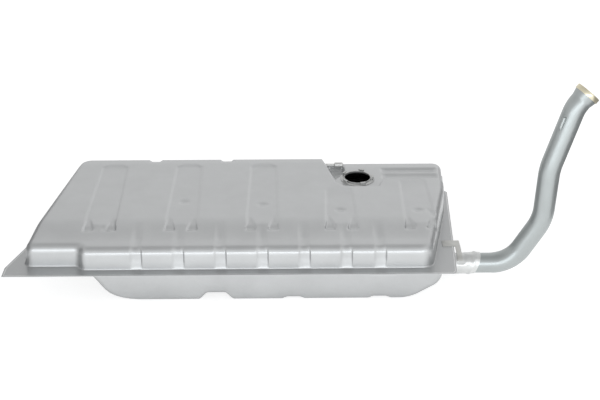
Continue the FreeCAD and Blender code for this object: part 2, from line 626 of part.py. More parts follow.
def cut_notches(body, label, inset):
    """Two short notches over the back edge."""
    face = f"(sizes.back_y - sizes.groove_depth - {inset})"
    floor = f"({TOP} - sizes.notch_depth - {inset})"
    for number, centre in enumerate(NOTCHES, start=1):
        corners = over_edge("sizes.back_y", face, floor, "-1", inset) + [
            ("sizes.back_y - sizes.notch_run", f"{TOP} + 0.2 * {LIFT}"),
            ("sizes.back_y - sizes.notch_run", f"{TOP} + {PAST}"),
            (f"sizes.back_y + {PAST}", f"{TOP} + {PAST}"),
        ]
        profile = outline(body, f"{label}_notch_{number}_profile", "YZ_Plane", corners, centre)
        pocket(body, f"{label}_notch_{number}", profile, f"sizes.notch_width + 2 * {inset}",
               both_ways=True)
    doc.recompute()


def hollow(body, name, space):
    """Takes the space of another body out of this one."""
    cut = body.newObject("PartDesign::Boolean", name)
    cut.setObjects([space])
    cut.Type = "Cut"
    doc.recompute()
    return cut


def foot_edges(shape, level, side):
    """Edges where a pan's tall wall meets the flat of its flange."""
    names = []
    for index, edge in enumerate(shape.Edges, start=1):
        if abs(edge.CenterOfMass.z - level) > 0.05:
            continue
        faces = shape.ancestorsOfType(edge, Part.Face)
        heights = [side * (face.CenterOfMass.z - level) for face in faces]
        if len(faces) == 2 and max(heights) > 2 and min(upright(face) for face in faces) < 0.5:
            names.append(f"Edge{index}")
    return names


# Upper pan: one deep-drawn sheet with its flange, ribs, grooves and the sender's seat.
upper_shell = press_upper("upper_shell", "0")
flange = outline(upper_shell, "upper_flange_outline", "XY_Plane", FLANGE_CORNERS, "sizes.seam_level")
flange_pad = pad(upper_shell, "upper_flange", flange, "sizes.sheet")
doc.recompute()
fillet(upper_shell, "upper_foot", flange_pad,
       foot_edges(flange_pad.Shape, mm("sizes.seam_level + sizes.sheet"), 1), "sizes.foot_round")
doc.recompute()
hollow(upper_shell, "upper_hollow", press_upper("upper_space", "sizes.sheet"))
sender_hole = disc(upper_shell, "sender_hole_outline", "XY_Plane", "sizes.sender_x", SENDER_Y,
                   "sizes.sender_radius + sizes.ring_clearance", f"{SEAT} + {LIFT}")
pocket(upper_shell, "sender_hole", sender_hole, f"3 * sizes.sheet + {LIFT}")
vent_hole = disc(upper_shell, "vent_hole_outline", "YZ_Plane", VENT_Y, VENT_Z,
                 "sizes.vent_radius + sizes.vent_hole_gap", SLEEVE_START)
pocket(upper_shell, "vent_hole", vent_hole, f"{SLEEVE_START} - {VENT_START}")
doc.recompute()


# Channels across the bottom: centre, width at the floor of the channel, width at the bottom, depth
CHANNELS = [
    ("sizes.strap_channel_x", "sizes.strap_channel_floor", "sizes.strap_channel_mouth",
     "sizes.strap_channel_depth"),
    ("sizes.stiffener_x", "sizes.stiffener_floor", "sizes.stiffener_mouth", "sizes.stiffener_depth"),
    ("sizes.stiffener_x + sizes.stiffener_pitch", "sizes.stiffener_floor", "sizes.stiffener_mouth",
     "sizes.stiffener_depth"),
]


def press_lower(label, inset):
    """The lower pan as pressed, or the space inside it when it is inset by the sheet."""
    body = new_body(label)
    low = f"{NOTHING} + {inset}"
    section = outline(body, f"{label}_section", "YZ_Plane", [
        (f"{PAN_FRONT} + {inset}", "sizes.seam_level"),
        (f"{PAN_FRONT} + sizes.pan_draft + {inset}", low),
        (f"{PAN_BACK} - sizes.pan_draft - {inset}", low),
        (f"{PAN_BACK} - {inset}", "sizes.seam_level"),
    ], f"{PAN_LEFT} + {inset}")
    pad(body, f"{label}_form", section, f"{PAN_RIGHT} - {PAN_LEFT} - 2 * {inset}")
    doc.recompute()
    for side, wall, foot, level, hand in (
            ("left", PAN_LEFT, f"{PAN_LEFT} + sizes.pan_left_run", "sizes.pan_left_rise", "1"),
            ("right", PAN_RIGHT, f"{PAN_RIGHT} - sizes.pan_right_run", "sizes.pan_right_rise", "-1")):
        slant = outline(body, f"{label}_{side}_slant", "XZ_Plane", [
            (f"{wall} - {hand} * {PAST}", f"-{PAST}"),
            (f"{foot} + {hand} * 0.3 * {inset}", f"-{PAST}"),
            (f"{foot} + {hand} * 0.3 * {inset}", low),
            (f"{wall} + {hand} * {inset}", f"{level} + 0.6 * {inset}"),
            (f"{wall} - {hand} * {PAST}", f"{level} + 0.6 * {inset}"),
        ])
        ends = pocket(body, f"{label}_{side}_end", slant, ACROSS, both_ways=True)
        doc.recompute()

    # Round the bends between the bottom, its slanted ends and the walls
    pan_width = mm(f"{PAN_BACK} - {PAN_FRONT}")

    def crosses(edge):
        return edge.BoundBox.YLength > 0.8 * pan_width and edge.BoundBox.XLength < 5

    half_way = mm("min(sizes.pan_left_rise; sizes.pan_right_rise)") / 2
    bottom = [f"Edge{n}" for n, e in enumerate(ends.Shape.Edges, start=1)
              if crosses(e) and e.CenterOfMass.z < half_way]
    bends = fillet(body, f"{label}_bends", ends, bottom, f"sizes.pan_bend - {inset}")
    doc.recompute()
    high = [f"Edge{n}" for n, e in enumerate(bends.Shape.Edges, start=1)
            if crosses(e) and half_way + 9 < e.CenterOfMass.z < size("seam_level") - 10]
    shoulders = fillet(body, f"{label}_shoulders", bends, high, f"sizes.pan_shoulder - {inset}")
    doc.recompute()
    around = []
    for index, edge in enumerate(shoulders.Shape.Edges, start=1):
        faces = shoulders.Shape.ancestorsOfType(edge, Part.Face)
        facing = max(abs(normal(face).y) for face in faces)
        if facing > 0.8 and edge.CenterOfMass.z < size("seam_level") - 0.1:
            around.append(f"Edge{index}")
    fillet(body, f"{label}_round", shoulders, around, f"sizes.pan_round - {inset}")
    doc.recompute()
    for number, (centre, narrow, wide, depth) in enumerate(CHANNELS, start=1):
        channel = outline(body, f"{label}_channel_{number}_profile", "XZ_Plane", [
            (f"{centre} - {wide} / 2 - {inset}", f"-{PAST}"),
            (f"{centre} + {wide} / 2 + {inset}", f"-{PAST}"),
            (f"{centre} + {wide} / 2 + {inset}", f"{NOTHING} + {inset} / 2"),
            (f"{centre} + {narrow} / 2 + {inset}", f"{depth} + {inset}"),
            (f"{centre} - {narrow} / 2 - {inset}", f"{depth} + {inset}"),
            (f"{centre} - {wide} / 2 - {inset}", f"{NOTHING} + {inset} / 2"),
        ])
        pocket(body, f"{label}_channel_{number}", channel, ACROSS, both_ways=True)
    doc.recompute()
    return body


# Lower pan: one deep-drawn sheet with slanted ends, channels for the straps and its flange.
lower_shell = press_lower("lower_shell", "0")
flange = outline(lower_shell, "lower_flange_outline", "XY_Plane", FLANGE_CORNERS,
                 "sizes.seam_level - sizes.sheet")
pad(lower_shell, "lower_flange", flange, "sizes.sheet")
hem = outline(lower_shell, "hem_outline", "XY_Plane",
              box_corners("sizes.hem_left", "sizes.hem_left + sizes.hem_width",
                          FLANGE_FRONT, f"{FLANGE_FRONT} + sizes.sheet"),
              "sizes.seam_level - sizes.sheet - sizes.hem_drop")
pad(lower_shell, "hem", hem, "sizes.sheet + sizes.hem_drop")
doc.recompute()
hollow(lower_shell, "lower_hollow", press_lower("lower_space", "sizes.sheet"))
neck_hole = disc(lower_shell, "neck_hole_outline", "YZ_Plane", NECK_Y, NECK_Z,
                 f"{FERRULE_RADIUS} + sizes.fit_gap", f"{PAN_RIGHT} + {LIFT}")
pocket(lower_shell, "neck_hole", neck_hole, f"{LIFT} + sizes.pan_right_run")
doc.recompute()


# Slosh plate: a folded sheet that stands across the tank, welded to the ribs above it.
slosh_plate = new_body("slosh_plate")
foot_level = f"{TOP} - sizes.rib_depth - sizes.dimple_depth - sizes.sheet"
plate = outline(slosh_plate, "plate_outline", "XZ_Plane", [
    (PLATE_LEFT, "sizes.plate_bottom"),
    (f"{PLATE_RIGHT} - sizes.plate_cut", "sizes.plate_bottom"),
    (PLATE_RIGHT, "sizes.plate_bottom + sizes.plate_cut"),
    (PLATE_RIGHT, f"{foot_level} - 0.5 * sizes.sheet"),
    (PLATE_LEFT, f"{foot_level} - 0.5 * sizes.sheet"),
])
plate_pad = pad(slosh_plate, "plate_sheet", plate, "sizes.sheet")
plate_pad.Midplane = True
for number in range(5):
    hole = disc(slosh_plate, f"plate_hole_{number + 1}_outline", "XZ_Plane",
                f"sizes.plate_hole_first_x + {number} * sizes.plate_hole_pitch", "sizes.plate_hole_z",
                "sizes.plate_hole_radius")
    pocket(slosh_plate, f"plate_hole_{number + 1}", hole, "4 * sizes.sheet", both_ways=True)
for number, (centre, step) in enumerate(WELDS, start=1):
    along = f"({centre}) / cos(sizes.plate_turn)"
    foot = outline(slosh_plate, f"plate_foot_{number}_outline", "XY_Plane",
                   box_corners(f"{along} - sizes.foot_length / 2", f"{along} + sizes.foot_length / 2",
                               f"-sizes.foot_width / 2 - {step}", "sizes.foot_width / 2"),
                   f"{foot_level} - sizes.sheet")
    pad(slosh_plate, f"plate_foot_{number}", foot, "sizes.sheet")
slosh_plate.Placement = Placement(Vector(0, 0, 0), Rotation(Vector(0, 0, 1), -size("plate_turn")))
slosh_plate.setExpression("Placement.Base.y", "sizes.plate_y")
doc.recompute()


# Locking ring of the fuel sender: a pressed ring soldered on its seat, with five cam tabs.
sender_ring = new_body("sender_lock_ring")
ring = disc(sender_ring, "ring_outline", "XY_Plane", NOTHING, NOTHING, RING_RADIUS)
pad(sender_ring, "ring_plate", ring, "sizes.ring_thickness")
wall = disc(sender_ring, "ring_wall_outline", "XY_Plane", NOTHING, NOTHING,
            "sizes.sender_radius + sizes.ring_thickness")
pad(sender_ring, "ring_wall", wall, "sizes.ring_thickness + sizes.ring_wall_height")
doc.recompute()
opening = disc(sender_ring, "ring_opening_outline", "XY_Plane", NOTHING, NOTHING,
               "sizes.sender_radius", f"sizes.ring_thickness + sizes.ring_wall_height + {LIFT}")
pocket(sender_ring, "ring_opening", opening, f"sizes.ring_thickness + sizes.ring_wall_height + 2 * {LIFT}")
doc.recompute()
TAB_COUNT = 5
post_radius = f"({RING_RADIUS} - sizes.tab_edge)"
post = outline(sender_ring, "tab_post_outline", "XY_Plane",
               box_corners(f"{post_radius} - sizes.ring_thickness", post_radius,
                           "-sizes.tab_width / 2", "sizes.tab_width / 2"))
tab_post = pad(sender_ring, "tab_post", post, "sizes.tab_height")
hook = outline(sender_ring, "tab_hook_outline", "XY_Plane",
               box_corners(f"{post_radius} - sizes.tab_reach", post_radius,
                           "-sizes.tab_width / 2", "sizes.tab_width / 2"),
               "sizes.tab_height - sizes.ring_thickness")
tab_hook = pad(sender_ring, "tab_hook", hook, "sizes.ring_thickness")
doc.recompute()
tabs = sender_ring.newObject("PartDesign::PolarPattern", "tabs")
tabs.Originals = [tab_post, tab_hook]
tabs.Axis = (plane(sender_ring, "Z_Axis"), [""])
tabs.Angle = 360
tabs.Occurrences = TAB_COUNT
sender_ring.Tip = tabs
sender_ring.setExpression("Placement.Base.x", "sizes.sender_x")
sender_ring.setExpression("Placement.Base.y", SENDER_Y)
sender_ring.setExpression("Placement.Base.z", SEAT)
doc.recompute()


def turned(label, points):
    """A body turned about its own Z axis from a closed profile of (radius, height)."""
    body = new_body(label)
    profile = outline(body, f"{label}_profile", "XZ_Plane", points)
    feature = body.newObject("PartDesign::Revolution", f"{label}_turning")
    feature.Profile = profile
    feature.ReferenceAxis = (plane(body, "Z_Axis"), [""])
    feature.Angle = 360
    doc.recompute()
    return body


# Vent pipe: a straight thin pipe through the seat's side wall, open inside the tank.
vent_pipe = turned("vent_pipe", [
    ("sizes.vent_radius - sizes.vent_wall", VENT_START),
    ("sizes.vent_radius", VENT_START),
    ("sizes.vent_radius", VENT_END),
    ("sizes.vent_radius - sizes.vent_wall", VENT_END),
])
# Vent sleeve: a turned end piece pushed over the pipe, with a rounded nose.
vent_sleeve = turned("vent_sleeve", [
    ("sizes.vent_radius + sizes.fit_gap", SLEEVE_START),
    ("sizes.sleeve_radius - 1", SLEEVE_START),
    ("sizes.sleeve_radius", f"{SLEEVE_START} + 1"),
    ("sizes.sleeve_radius", f"{SLEEVE_END} - 4"),
    ("sizes.sleeve_radius - 1.2", f"{SLEEVE_END} - 1.2"),
    ("sizes.sleeve_radius - 4", SLEEVE_END),
    ("sizes.vent_radius - sizes.vent_wall", SLEEVE_END),
    ("sizes.vent_radius - sizes.vent_wall", f"{VENT_END} + sizes.fit_gap"),
    ("sizes.vent_radius + sizes.fit_gap", f"{VENT_END} + sizes.fit_gap"),
])
for piece in (vent_pipe, vent_sleeve):
    piece.Placement = Placement(Vector(0, 0, 0), Rotation(Vector(0, 1, 0), 90))
    piece.setExpression("Placement.Base.y", VENT_Y)
    piece.setExpression("Placement.Base.z", VENT_Z)
doc.recompute()


# The neck's route, corner by corner: level out of the tank, up, and away to the mouth.
def neck_point(right, back, up):
    """A point of the neck's route, by its distance from the neck's axis at the lower pan's wall."""
    return Vector(mm(PAN_RIGHT) + right, mm(NECK_Y) + back, mm(NECK_Z) + up)


# How far the ferrule has to reach in, so that it passes the pan's slanted end all round
FERRULE_LOW = f"({NECK_Z} - {FERRULE_RADIUS})"
FERRULE_INSERT = mm(f"max(0; 1 - {FERRULE_LOW} / sizes.pan_right_rise) * sizes.pan_right_run"
                    " + sizes.ferrule_lap")
NECK_CORNERS = [
    neck_point(-FERRULE_INSERT - size("neck_lap"), 0, 0),
    neck_point(186, 0, 0),
    neck_point(259, 0, 130),
    neck_point(266, 11, 269),
    neck_point(319, 35, 429),
    neck_point(346, 43, 460),
]
NECK_BENDS = [88, 130, 150, 88]
MOUTH = NECK_CORNERS[-1]
MOUTH_AXIS = (NECK_CORNERS[-1] - NECK_CORNERS[-2]).normalize()


def bent_path(corners, bends):
    """Straight runs through the corners, joined by tangent arcs."""
    edges = []
    start = corners[0]
    for corner, bend, before, after in zip(corners[1:-1], bends, corners, corners[2:]):
        back = (before - corner).normalize()
        forth = (after - corner).normalize()
        half_turn = (math.pi - back.getAngle(forth)) / 2
        reach = bend * math.tan(half_turn)
        middle = corner + (back + forth).normalize() * (bend / math.cos(half_turn) - bend)
        first = corner + back * reach
        last = corner + forth * reach
        edges.append(Part.LineSegment(start, first).toShape())
        edges.append(Part.Arc(first, middle, last).toShape())
        start = last
    edges.append(Part.LineSegment(start, corners[-1]).toShape())
    return Part.Wire(edges)


def rod(path, radius):
    """A round bar along a path."""
    edge = path.OrderedEdges[0]
    start = edge.Vertexes[0].Point
    along = edge.Vertexes[1].Point - start
    ring = Part.Face(Part.Wire(Part.makeCircle(radius, start, along)))
    return path.makePipe(ring)


def add_shape(label, shape):
    feature = doc.addObject("Part::Feature", label)
    feature.Label = label
    feature.Shape = shape
    return feature


def neck_form(inset):
    """The neck's outer form, or its bore when inset by the wall."""
    radius = size("neck_radius") - inset
    mouth_radius = mm(FLARE_RADIUS) - inset
    straight = size("collar_lap")
    flare = size("flare_length")
    extra = 1 if inset else 0
    corners = list(NECK_CORNERS)
    corners[-1] = MOUTH - MOUTH_AXIS * (straight + flare)
    corners[0] = corners[0] - Vector(extra, 0, 0)
    body = rod(bent_path(corners, NECK_BENDS), radius)
    cone = Part.makeCone(radius, mouth_radius, flare, corners[-1], MOUTH_AXIS)
    lip = Part.makeCylinder(mouth_radius, straight + extra, MOUTH - MOUTH_AXIS * straight, MOUTH_AXIS)
    return body.fuse([cone, lip])


def neck_nipple_path():
    """From inside the neck's upright run outwards, then up along the neck."""
    along = (NECK_CORNERS[4] - NECK_CORNERS[3]).normalize()
    base = NECK_CORNERS[3] + along * size("nipple_run")
    out = Vector(-1, -0.95, 0.5)
    out = (out - along * out.dot(along)).normalize()
    reach = size("neck_radius") + size("nipple_radius") + size("fit_gap")
    corner = base + out * reach
    start = base + out * (size("neck_radius") - size("neck_wall") - 2)
    return bent_path([start, corner, corner + along * size("nipple_length")], [5])


# Filler neck: a bent steel tube, flared where the collar sits.
nipple_path = neck_nipple_path()
neck = neck_form(0).cut(neck_form(size("neck_wall")))
neck = neck.cut(rod(nipple_path, size("nipple_radius") + size("fit_gap") / 2))
filler_neck = add_shape("filler_neck", neck)

# Vent nipple of the neck: a small bent pipe brazed into its side.
nipple = rod(nipple_path, size("nipple_radius")).cut(rod(nipple_path, size("nipple_radius") - 1))
neck_vent_nipple = add_shape("neck_vent_nipple", nipple)

# Neck ferrule: a sleeve soldered into the lower pan, cut at a slant outside.
length = size("ferrule_reach") + FERRULE_INSERT
entry = neck_point(-FERRULE_INSERT, 0, 0)
level = Vector(1, 0, 0)
ferrule = Part.makeCylinder(mm(FERRULE_RADIUS), length, entry, level)
ferrule = ferrule.cut(Part.makeCylinder(size("neck_radius") + size("fit_gap"), length, entry, level))
wedge = Part.makeBox(200, 200, 200, Vector(0, -100, -100))
wedge.rotate(Vector(0, 0, 0), Vector(0, 1, 0), -size("ferrule_slant"))
wedge.translate(neck_point(size("ferrule_reach") - 12, 0, 0))
neck_ferrule = add_shape("neck_ferrule", ferrule.cut(wedge))

# Mouth collar: a turned ring pressed over the flared end of the neck.
mouth_collar = turned("mouth_collar", [
    (f"{FLARE_RADIUS} + sizes.fit_gap", "-sizes.collar_lap"),
    (COLLAR_RADIUS, "-sizes.collar_lap"),
    (COLLAR_RADIUS, "sizes.collar_height - sizes.collar_lap - 1.2"),
    (f"{COLLAR_RADIUS} - 1.2", "sizes.collar_height - sizes.collar_lap"),
    (MOUTH_RADIUS, "sizes.collar_height - sizes.collar_lap"),
    (MOUTH_RADIUS, "sizes.fit_gap"),
    (f"{FLARE_RADIUS} + sizes.fit_gap", "sizes.fit_gap"),
])
mouth_collar.Placement = Placement(MOUTH, Rotation(Vector(0, 0, 1), MOUTH_AXIS))
doc.recompute()


def bracket_shape():
    """A flat strap on the flange whose leg runs forward and lies over the neck."""
    thick = size("strap_thickness")
    flat = size("seam_level") + size("sheet")
    centre = Vector(0, mm(NECK_Y), mm(NECK_Z))
    radius = mm(FERRULE_RADIUS) + size("fit_gap")
    bend = Vector(0, mm(STRAP_FRONT), flat)
    to_bend = bend - centre
    start_angle = math.atan2(to_bend.z, to_bend.y) + math.acos(radius / to_bend.Length)
    end_angle = start_angle + math.radians(size("strap_wrap"))

    def on_neck(angle, distance):
        return centre + Vector(0, math.cos(angle), math.sin(angle)) * distance

    middle = (start_angle + end_angle) / 2
    inner, outer = radius, radius + thick
    back = mm(STRAP_BACK)
    edges = [
        Part.LineSegment(Vector(0, back, flat), bend).toShape(),
        Part.LineSegment(bend, on_neck(start_angle, inner)).toShape(),
        Part.Arc(on_neck(start_angle, inner), on_neck(middle, inner), on_neck(end_angle, inner)).toShape(),
        Part.LineSegment(on_neck(end_angle, inner), on_neck(end_angle, outer)).toShape(),
        Part.Arc(on_neck(end_angle, outer), on_neck(middle, outer), on_neck(start_angle, outer)).toShape(),
        Part.LineSegment(on_neck(start_angle, outer), bend + Vector(0, 0, thick)).toShape(),
        Part.LineSegment(bend + Vector(0, 0, thick), Vector(0, back, flat + thick)).toShape(),
        Part.LineSegment(Vector(0, back, flat + thick), Vector(0, back, flat)).toShape(),
    ]
    leg = Part.Face(Part.Wire(edges)).extrude(Vector(size("strap_leg_width"), 0, 0))
    leg.translate(Vector(mm(STRAP_LEG), 0, 0))
    left = mm(STRAP_LEFT)
    front = mm(STRAP_FRONT)
    flat_part = Part.makeBox(mm(STRAP_LEG) - left + 1, back - front, thick, Vector(left, front, flat))
    return leg.fuse(flat_part).removeSplitter()


# Neck bracket: a bent strap that ties the neck to the tank's flange.
neck_bracket = add_shape("neck_bracket", bracket_shape())

NODES = [
    upper_shell,
    lower_shell,
    slosh_plate,
    sender_ring,
    vent_pipe,
    vent_sleeve,
    filler_neck,
    neck_vent_nipple,
    neck_ferrule,
    mouth_collar,
    neck_bracket,
]

doc.recompute()
for feature in doc.Objects:
    if "Invalid" in feature.State or "Error" in feature.State:
        raise RuntimeError(f"{feature.Name} failed")
for node in NODES:
    if node.Shape.isNull() or not node.Shape.isValid() or len(node.Shape.Solids) != 1:
        raise RuntimeError(f"{node.Label} is not one valid solid")
    print(node.Label, round(node.Shape.Volume), len(node.Shape.Faces))
os.makedirs("parts", exist_ok=True)
for node in NODES:
    node.Shape.exportStep(f"parts/{node.Label}.step")
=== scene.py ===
import math

import bmesh
import bpy
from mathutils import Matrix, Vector
from mathutils.noise import noise as blows


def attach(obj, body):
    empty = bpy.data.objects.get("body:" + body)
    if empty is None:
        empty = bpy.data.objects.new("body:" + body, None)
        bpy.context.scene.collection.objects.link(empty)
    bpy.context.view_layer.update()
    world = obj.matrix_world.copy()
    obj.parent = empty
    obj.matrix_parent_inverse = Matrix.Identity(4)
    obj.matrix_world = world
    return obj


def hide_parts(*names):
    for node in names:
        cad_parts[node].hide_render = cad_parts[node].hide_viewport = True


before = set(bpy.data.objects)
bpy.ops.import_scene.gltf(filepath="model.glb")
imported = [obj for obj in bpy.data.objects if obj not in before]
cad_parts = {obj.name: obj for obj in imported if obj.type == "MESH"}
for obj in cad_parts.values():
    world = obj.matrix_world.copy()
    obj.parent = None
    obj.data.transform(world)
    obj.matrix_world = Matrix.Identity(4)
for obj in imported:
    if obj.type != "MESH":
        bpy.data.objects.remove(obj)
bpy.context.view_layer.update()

# Upper pan: one deep-drawn sheet of silver-coated steel with five wide ribs, seven grooves over
# its front edge, two notches over the back edge and a lowered seat for the fuel sender. Its flange
# is seam-welded to the lower pan's.
SHEET = 0.001
SEAM = 0.100
PLATEAU = 0.174
LIP = 0.160
SEAT = 0.1575
FRONT = -0.245
BACK = 0.271
# Corners of the wall at its foot, and how far the wall leans in from there to the top
PAN_CORNERS = [
    (-0.6150, -0.226, 0.0061, 0.006),
    (-0.4730, -0.226, 0.0025, 0.006),
    (-0.4570, FRONT, 0.0025, 0.006),
    (0.4380, FRONT, -0.0008, 0.006),
    (0.5050, 0.070, -0.0020, 0.000),
    (0.5190, BACK, -0.0023, -0.004),
    (-0.5320, BACK, 0.0044, -0.004),
]
FLANGE_CORNERS = [
    (-0.6595, -0.272), (0.4900, -0.272), (0.4980, -0.264), (0.5070, -0.133), (0.5270, 0.174),
    (0.5170, 0.184), (0.5260, 0.274), (0.5080, 0.292), (-0.5540, 0.292), (-0.6220, -0.118),
    (-0.6595, -0.230),
]
CORNER_ROUND = 0.028
STEP_ROUND = 0.009
TOP_ROUND = 0.020
FOOT_ROUND = 0.003
FOOT_WIDTH = 0.0035


def choose(piece, kind, wanted):
    """Selects, in edit mode, only the vertices, edges or faces that pass a test."""
    bpy.ops.mesh.select_mode(type=kind)
    bpy.ops.mesh.select_all(action="DESELECT")
    mesh = bmesh.from_edit_mesh(piece.data)
    items = {"VERT": mesh.verts, "EDGE": mesh.edges, "FACE": mesh.faces}[kind]
    for item in items:
        if wanted(item):
            item.select_set(True)
    bmesh.update_edit_mesh(piece.data)


def cut_square(piece, axis, places):
    """Cuts a piece in edit mode along planes square to one axis."""
    square = [0, 0, 0]
    square[axis] = 1
    mesh = bmesh.from_edit_mesh(piece.data)
    for place in places:
        point = [0, 0, 0]
        point[axis] = place
        bmesh.ops.bisect_plane(mesh, geom=mesh.verts[:] + mesh.edges[:] + mesh.faces[:], dist=0.00002,
                               plane_co=point, plane_no=square)
    bmesh.update_edit_mesh(piece.data)


def spaced(marks, widest):
    """Places between the marks, evenly spread, with no gap wider than asked for."""
    places = []
    ordered = sorted(marks)
    kept = [ordered[0]]
    for mark in ordered[1:]:
        if mark - kept[-1] > 0.0009:
            kept.append(mark)
    for low, high in zip(kept, kept[1:]):
        count = math.ceil((high - low) / widest - 0.001)
        for step in range(count):
            places.append(low + (high - low) * step / count)
    return places + [kept[-1]]


def around(centre, reach, step):
    """Places either side of a centre."""
    count = round(reach / step)
    return [centre + step * number for number in range(-count, count + 1)]


def pressed_form(name, corners, low, high):
    """A flat-topped form from its corners at the foot and their lean to the top."""
    bpy.ops.object.select_all(action="DESELECT")
    bpy.ops.mesh.primitive_circle_add(vertices=len(corners), radius=0.5, fill_type="NGON")
    piece = bpy.context.object
    piece.name = name
    for vertex, (x, y, lean_x, lean_y) in zip(piece.data.vertices, corners):
        vertex.co = (x, y, low)
    bpy.ops.object.mode_set(mode="EDIT")
    bpy.ops.mesh.select_all(action="SELECT")
    bpy.ops.mesh.extrude_region_move(TRANSFORM_OT_translate={"value": (0, 0, high - low)})
    mesh = bmesh.from_edit_mesh(piece.data)
    for vertex in mesh.verts:
        if vertex.co.z > (low + high) / 2:
            for x, y, lean_x, lean_y in corners:
                if abs(vertex.co.x - x) < 0.0001 and abs(vertex.co.y - y) < 0.0001:
                    vertex.co.x += lean_x
                    vertex.co.y += lean_y
                    break
    bmesh.update_edit_mesh(piece.data)
    return piece


def is_upright(edge):
    first, second = edge.verts
    return abs(first.co.z - second.co.z) > 0.03


def is_step(edge):
    return is_upright(edge) and -0.48 < edge.verts[0].co.x < -0.45


def add_flange(piece, level):
    """Joins the open edge at a level to the flange's outline with a narrow rounded foot."""
    choose(piece, "EDGE", lambda e: e.is_boundary and abs(e.verts[0].co.z - level) < 0.0001)
    mesh = bmesh.from_edit_mesh(piece.data)
    loop = [v.co.copy() for v in mesh.verts if v.select]
    middle = (min(c.x for c in loop) + max(c.x for c in loop)) / 2, (
        min(c.y for c in loop) + max(c.y for c in loop)) / 2
    half = (max(c.x for c in loop) - min(c.x for c in loop)) / 2, (
        max(c.y for c in loop) - min(c.y for c in loop)) / 2
    bpy.ops.mesh.extrude_edges_move()
    bpy.ops.transform.resize(value=(1 + FOOT_WIDTH / half[0], 1 + FOOT_WIDTH / half[1], 1),
                             center_override=(middle[0], middle[1], level))
    bpy.ops.mesh.primitive_circle_add(vertices=len(FLANGE_CORNERS), radius=1, fill_type="NOTHING")
    mesh = bmesh.from_edit_mesh(piece.data)
    outline = [v for v in mesh.verts if v.select]
    for vertex, (x, y) in zip(outline, FLANGE_CORNERS):
        vertex.co = (x, y, level)
    bmesh.update_edit_mesh(piece.data)
    choose(piece, "EDGE", lambda e: len(e.link_faces) < 2 and abs(e.verts[0].co.z - level) < 0.0001
           and abs(e.verts[1].co.z - level) < 0.0001)
    bpy.ops.mesh.fill(use_beauty=True)
    bpy.ops.mesh.select_all(action="SELECT")
    bpy.ops.mesh.normals_make_consistent(inside=False)


upper_pan = pressed_form("upper_pan", PAN_CORNERS, SEAM + SHEET, PLATEAU)
choose(upper_pan, "EDGE", is_step)
bpy.ops.mesh.bevel(offset=STEP_ROUND, segments=4, affect="EDGES", clamp_overlap=False)
choose(upper_pan, "EDGE", lambda e: is_upright(e) and not -0.49 < e.verts[0].co.x < -0.44)
bpy.ops.mesh.bevel(offset=CORNER_ROUND, segments=7, affect="EDGES", clamp_overlap=False)
choose(upper_pan, "EDGE", lambda e: min(v.co.z for v in e.verts) > PLATEAU - 0.0001)
bpy.ops.mesh.bevel(offset=TOP_ROUND, segments=8, affect="EDGES", clamp_overlap=False)
choose(upper_pan, "FACE", lambda f: max(v.co.z for v in f.verts) < SEAM + SHEET + 0.0001)
bpy.ops.mesh.delete(type="ONLY_FACE")
add_flange(upper_pan, SEAM + SHEET)
choose(upper_pan, "EDGE", lambda e: len(e.link_faces) == 2 and e.calc_face_angle(0) > 0.7
       and max(v.co.z for v in e.verts) < SEAM + SHEET + 0.0001)
bpy.ops.mesh.bevel(offset=FOOT_ROUND, segments=3, affect="EDGES", clamp_overlap=False)
bpy.ops.object.mode_set(mode="OBJECT")

# Ribs: centre line, back end; they are wider at the front, where they run out on the slope
RIB_CENTRES = [-0.424, -0.212, 0, 0.2085, 0.417]
RIB_BACKS = [0.224, 0.224, 0.224, 0.080, 0.128]
RIB_BACK_RUNS = [0.030, 0.024, 0.030, 0.060, 0.060]
RIB_FRONT = -0.162
RIB_FLOOR = 0.1710
RIB_WIDTHS = (0.092, 0.078)
RIB_CORNER = 0.022
RIB_EDGE = 0.008
# Pockets at the ribs' front corners: a ramp that starts at a tip and is deepest at its base
POCKET_BASE = -0.146
POCKET_TIP = -0.094
POCKET_DEPTH = 0.0065
POCKET_CENTRE = 0.0325
POCKET_SPREAD = 0.003
POCKET_TIP_WIDTH = 0.003
POCKET_WIDENING = 0.012
POCKET_FADE = 1.25
# A slanting dent beside the last rib
DENT = (0.4515, -0.080)
DENT_SLANT = 0.35
DENT_SIZE = (0.010, 0.028)
DENT_DEPTH = 0.0032
# Grooves: centres, and how deep each is on the slope behind the rim
GROOVES = [-0.322, -0.2145, -0.107, 0.0005, 0.108, 0.2155, 0.3025]
GROOVE_WIDTH = 0.036
GROOVE_DEPTH = 0.005
GROOVE_RAMPS = [0.0066, 0.0046, 0.0066, 0.0046, 0.0066, 0.0046, 0.0066]
GROOVE_END = -0.120
NOTCHES = [-0.313, -0.107]
NOTCH_WIDTH = 0.038
NOTCH_FRONT = 0.226
NOTCH_DEPTH = 0.005
DIMPLE_DEPTH = 0.0030
BACK_ROLL = 0.0034
DIMPLES = [(-0.2120, -0.008), (0, -0.026), (0.2085, -0.059), (0.417, -0.062)]
SENDER = (0.266, 0.152)
VENT_LEVEL = (0.230, 0.1625)


def smooth(value, start, end):
    """0 up to start, 1 from end on, and a soft turn between."""
    share = min(max((value - start) / (end - start), 0), 1)
    return share * share * (3 - 2 * share)


def inside(x, y, sides):
    """How far a point is inside the lines through two points each, left of which is inside."""
    nearest = 1
    for (x1, y1), (x2, y2) in sides:
        length = math.hypot(x2 - x1, y2 - y1)
        nearest = min(nearest, ((x2 - x1) * (y - y1) - (y2 - y1) * (x - x1)) / length)
    return nearest


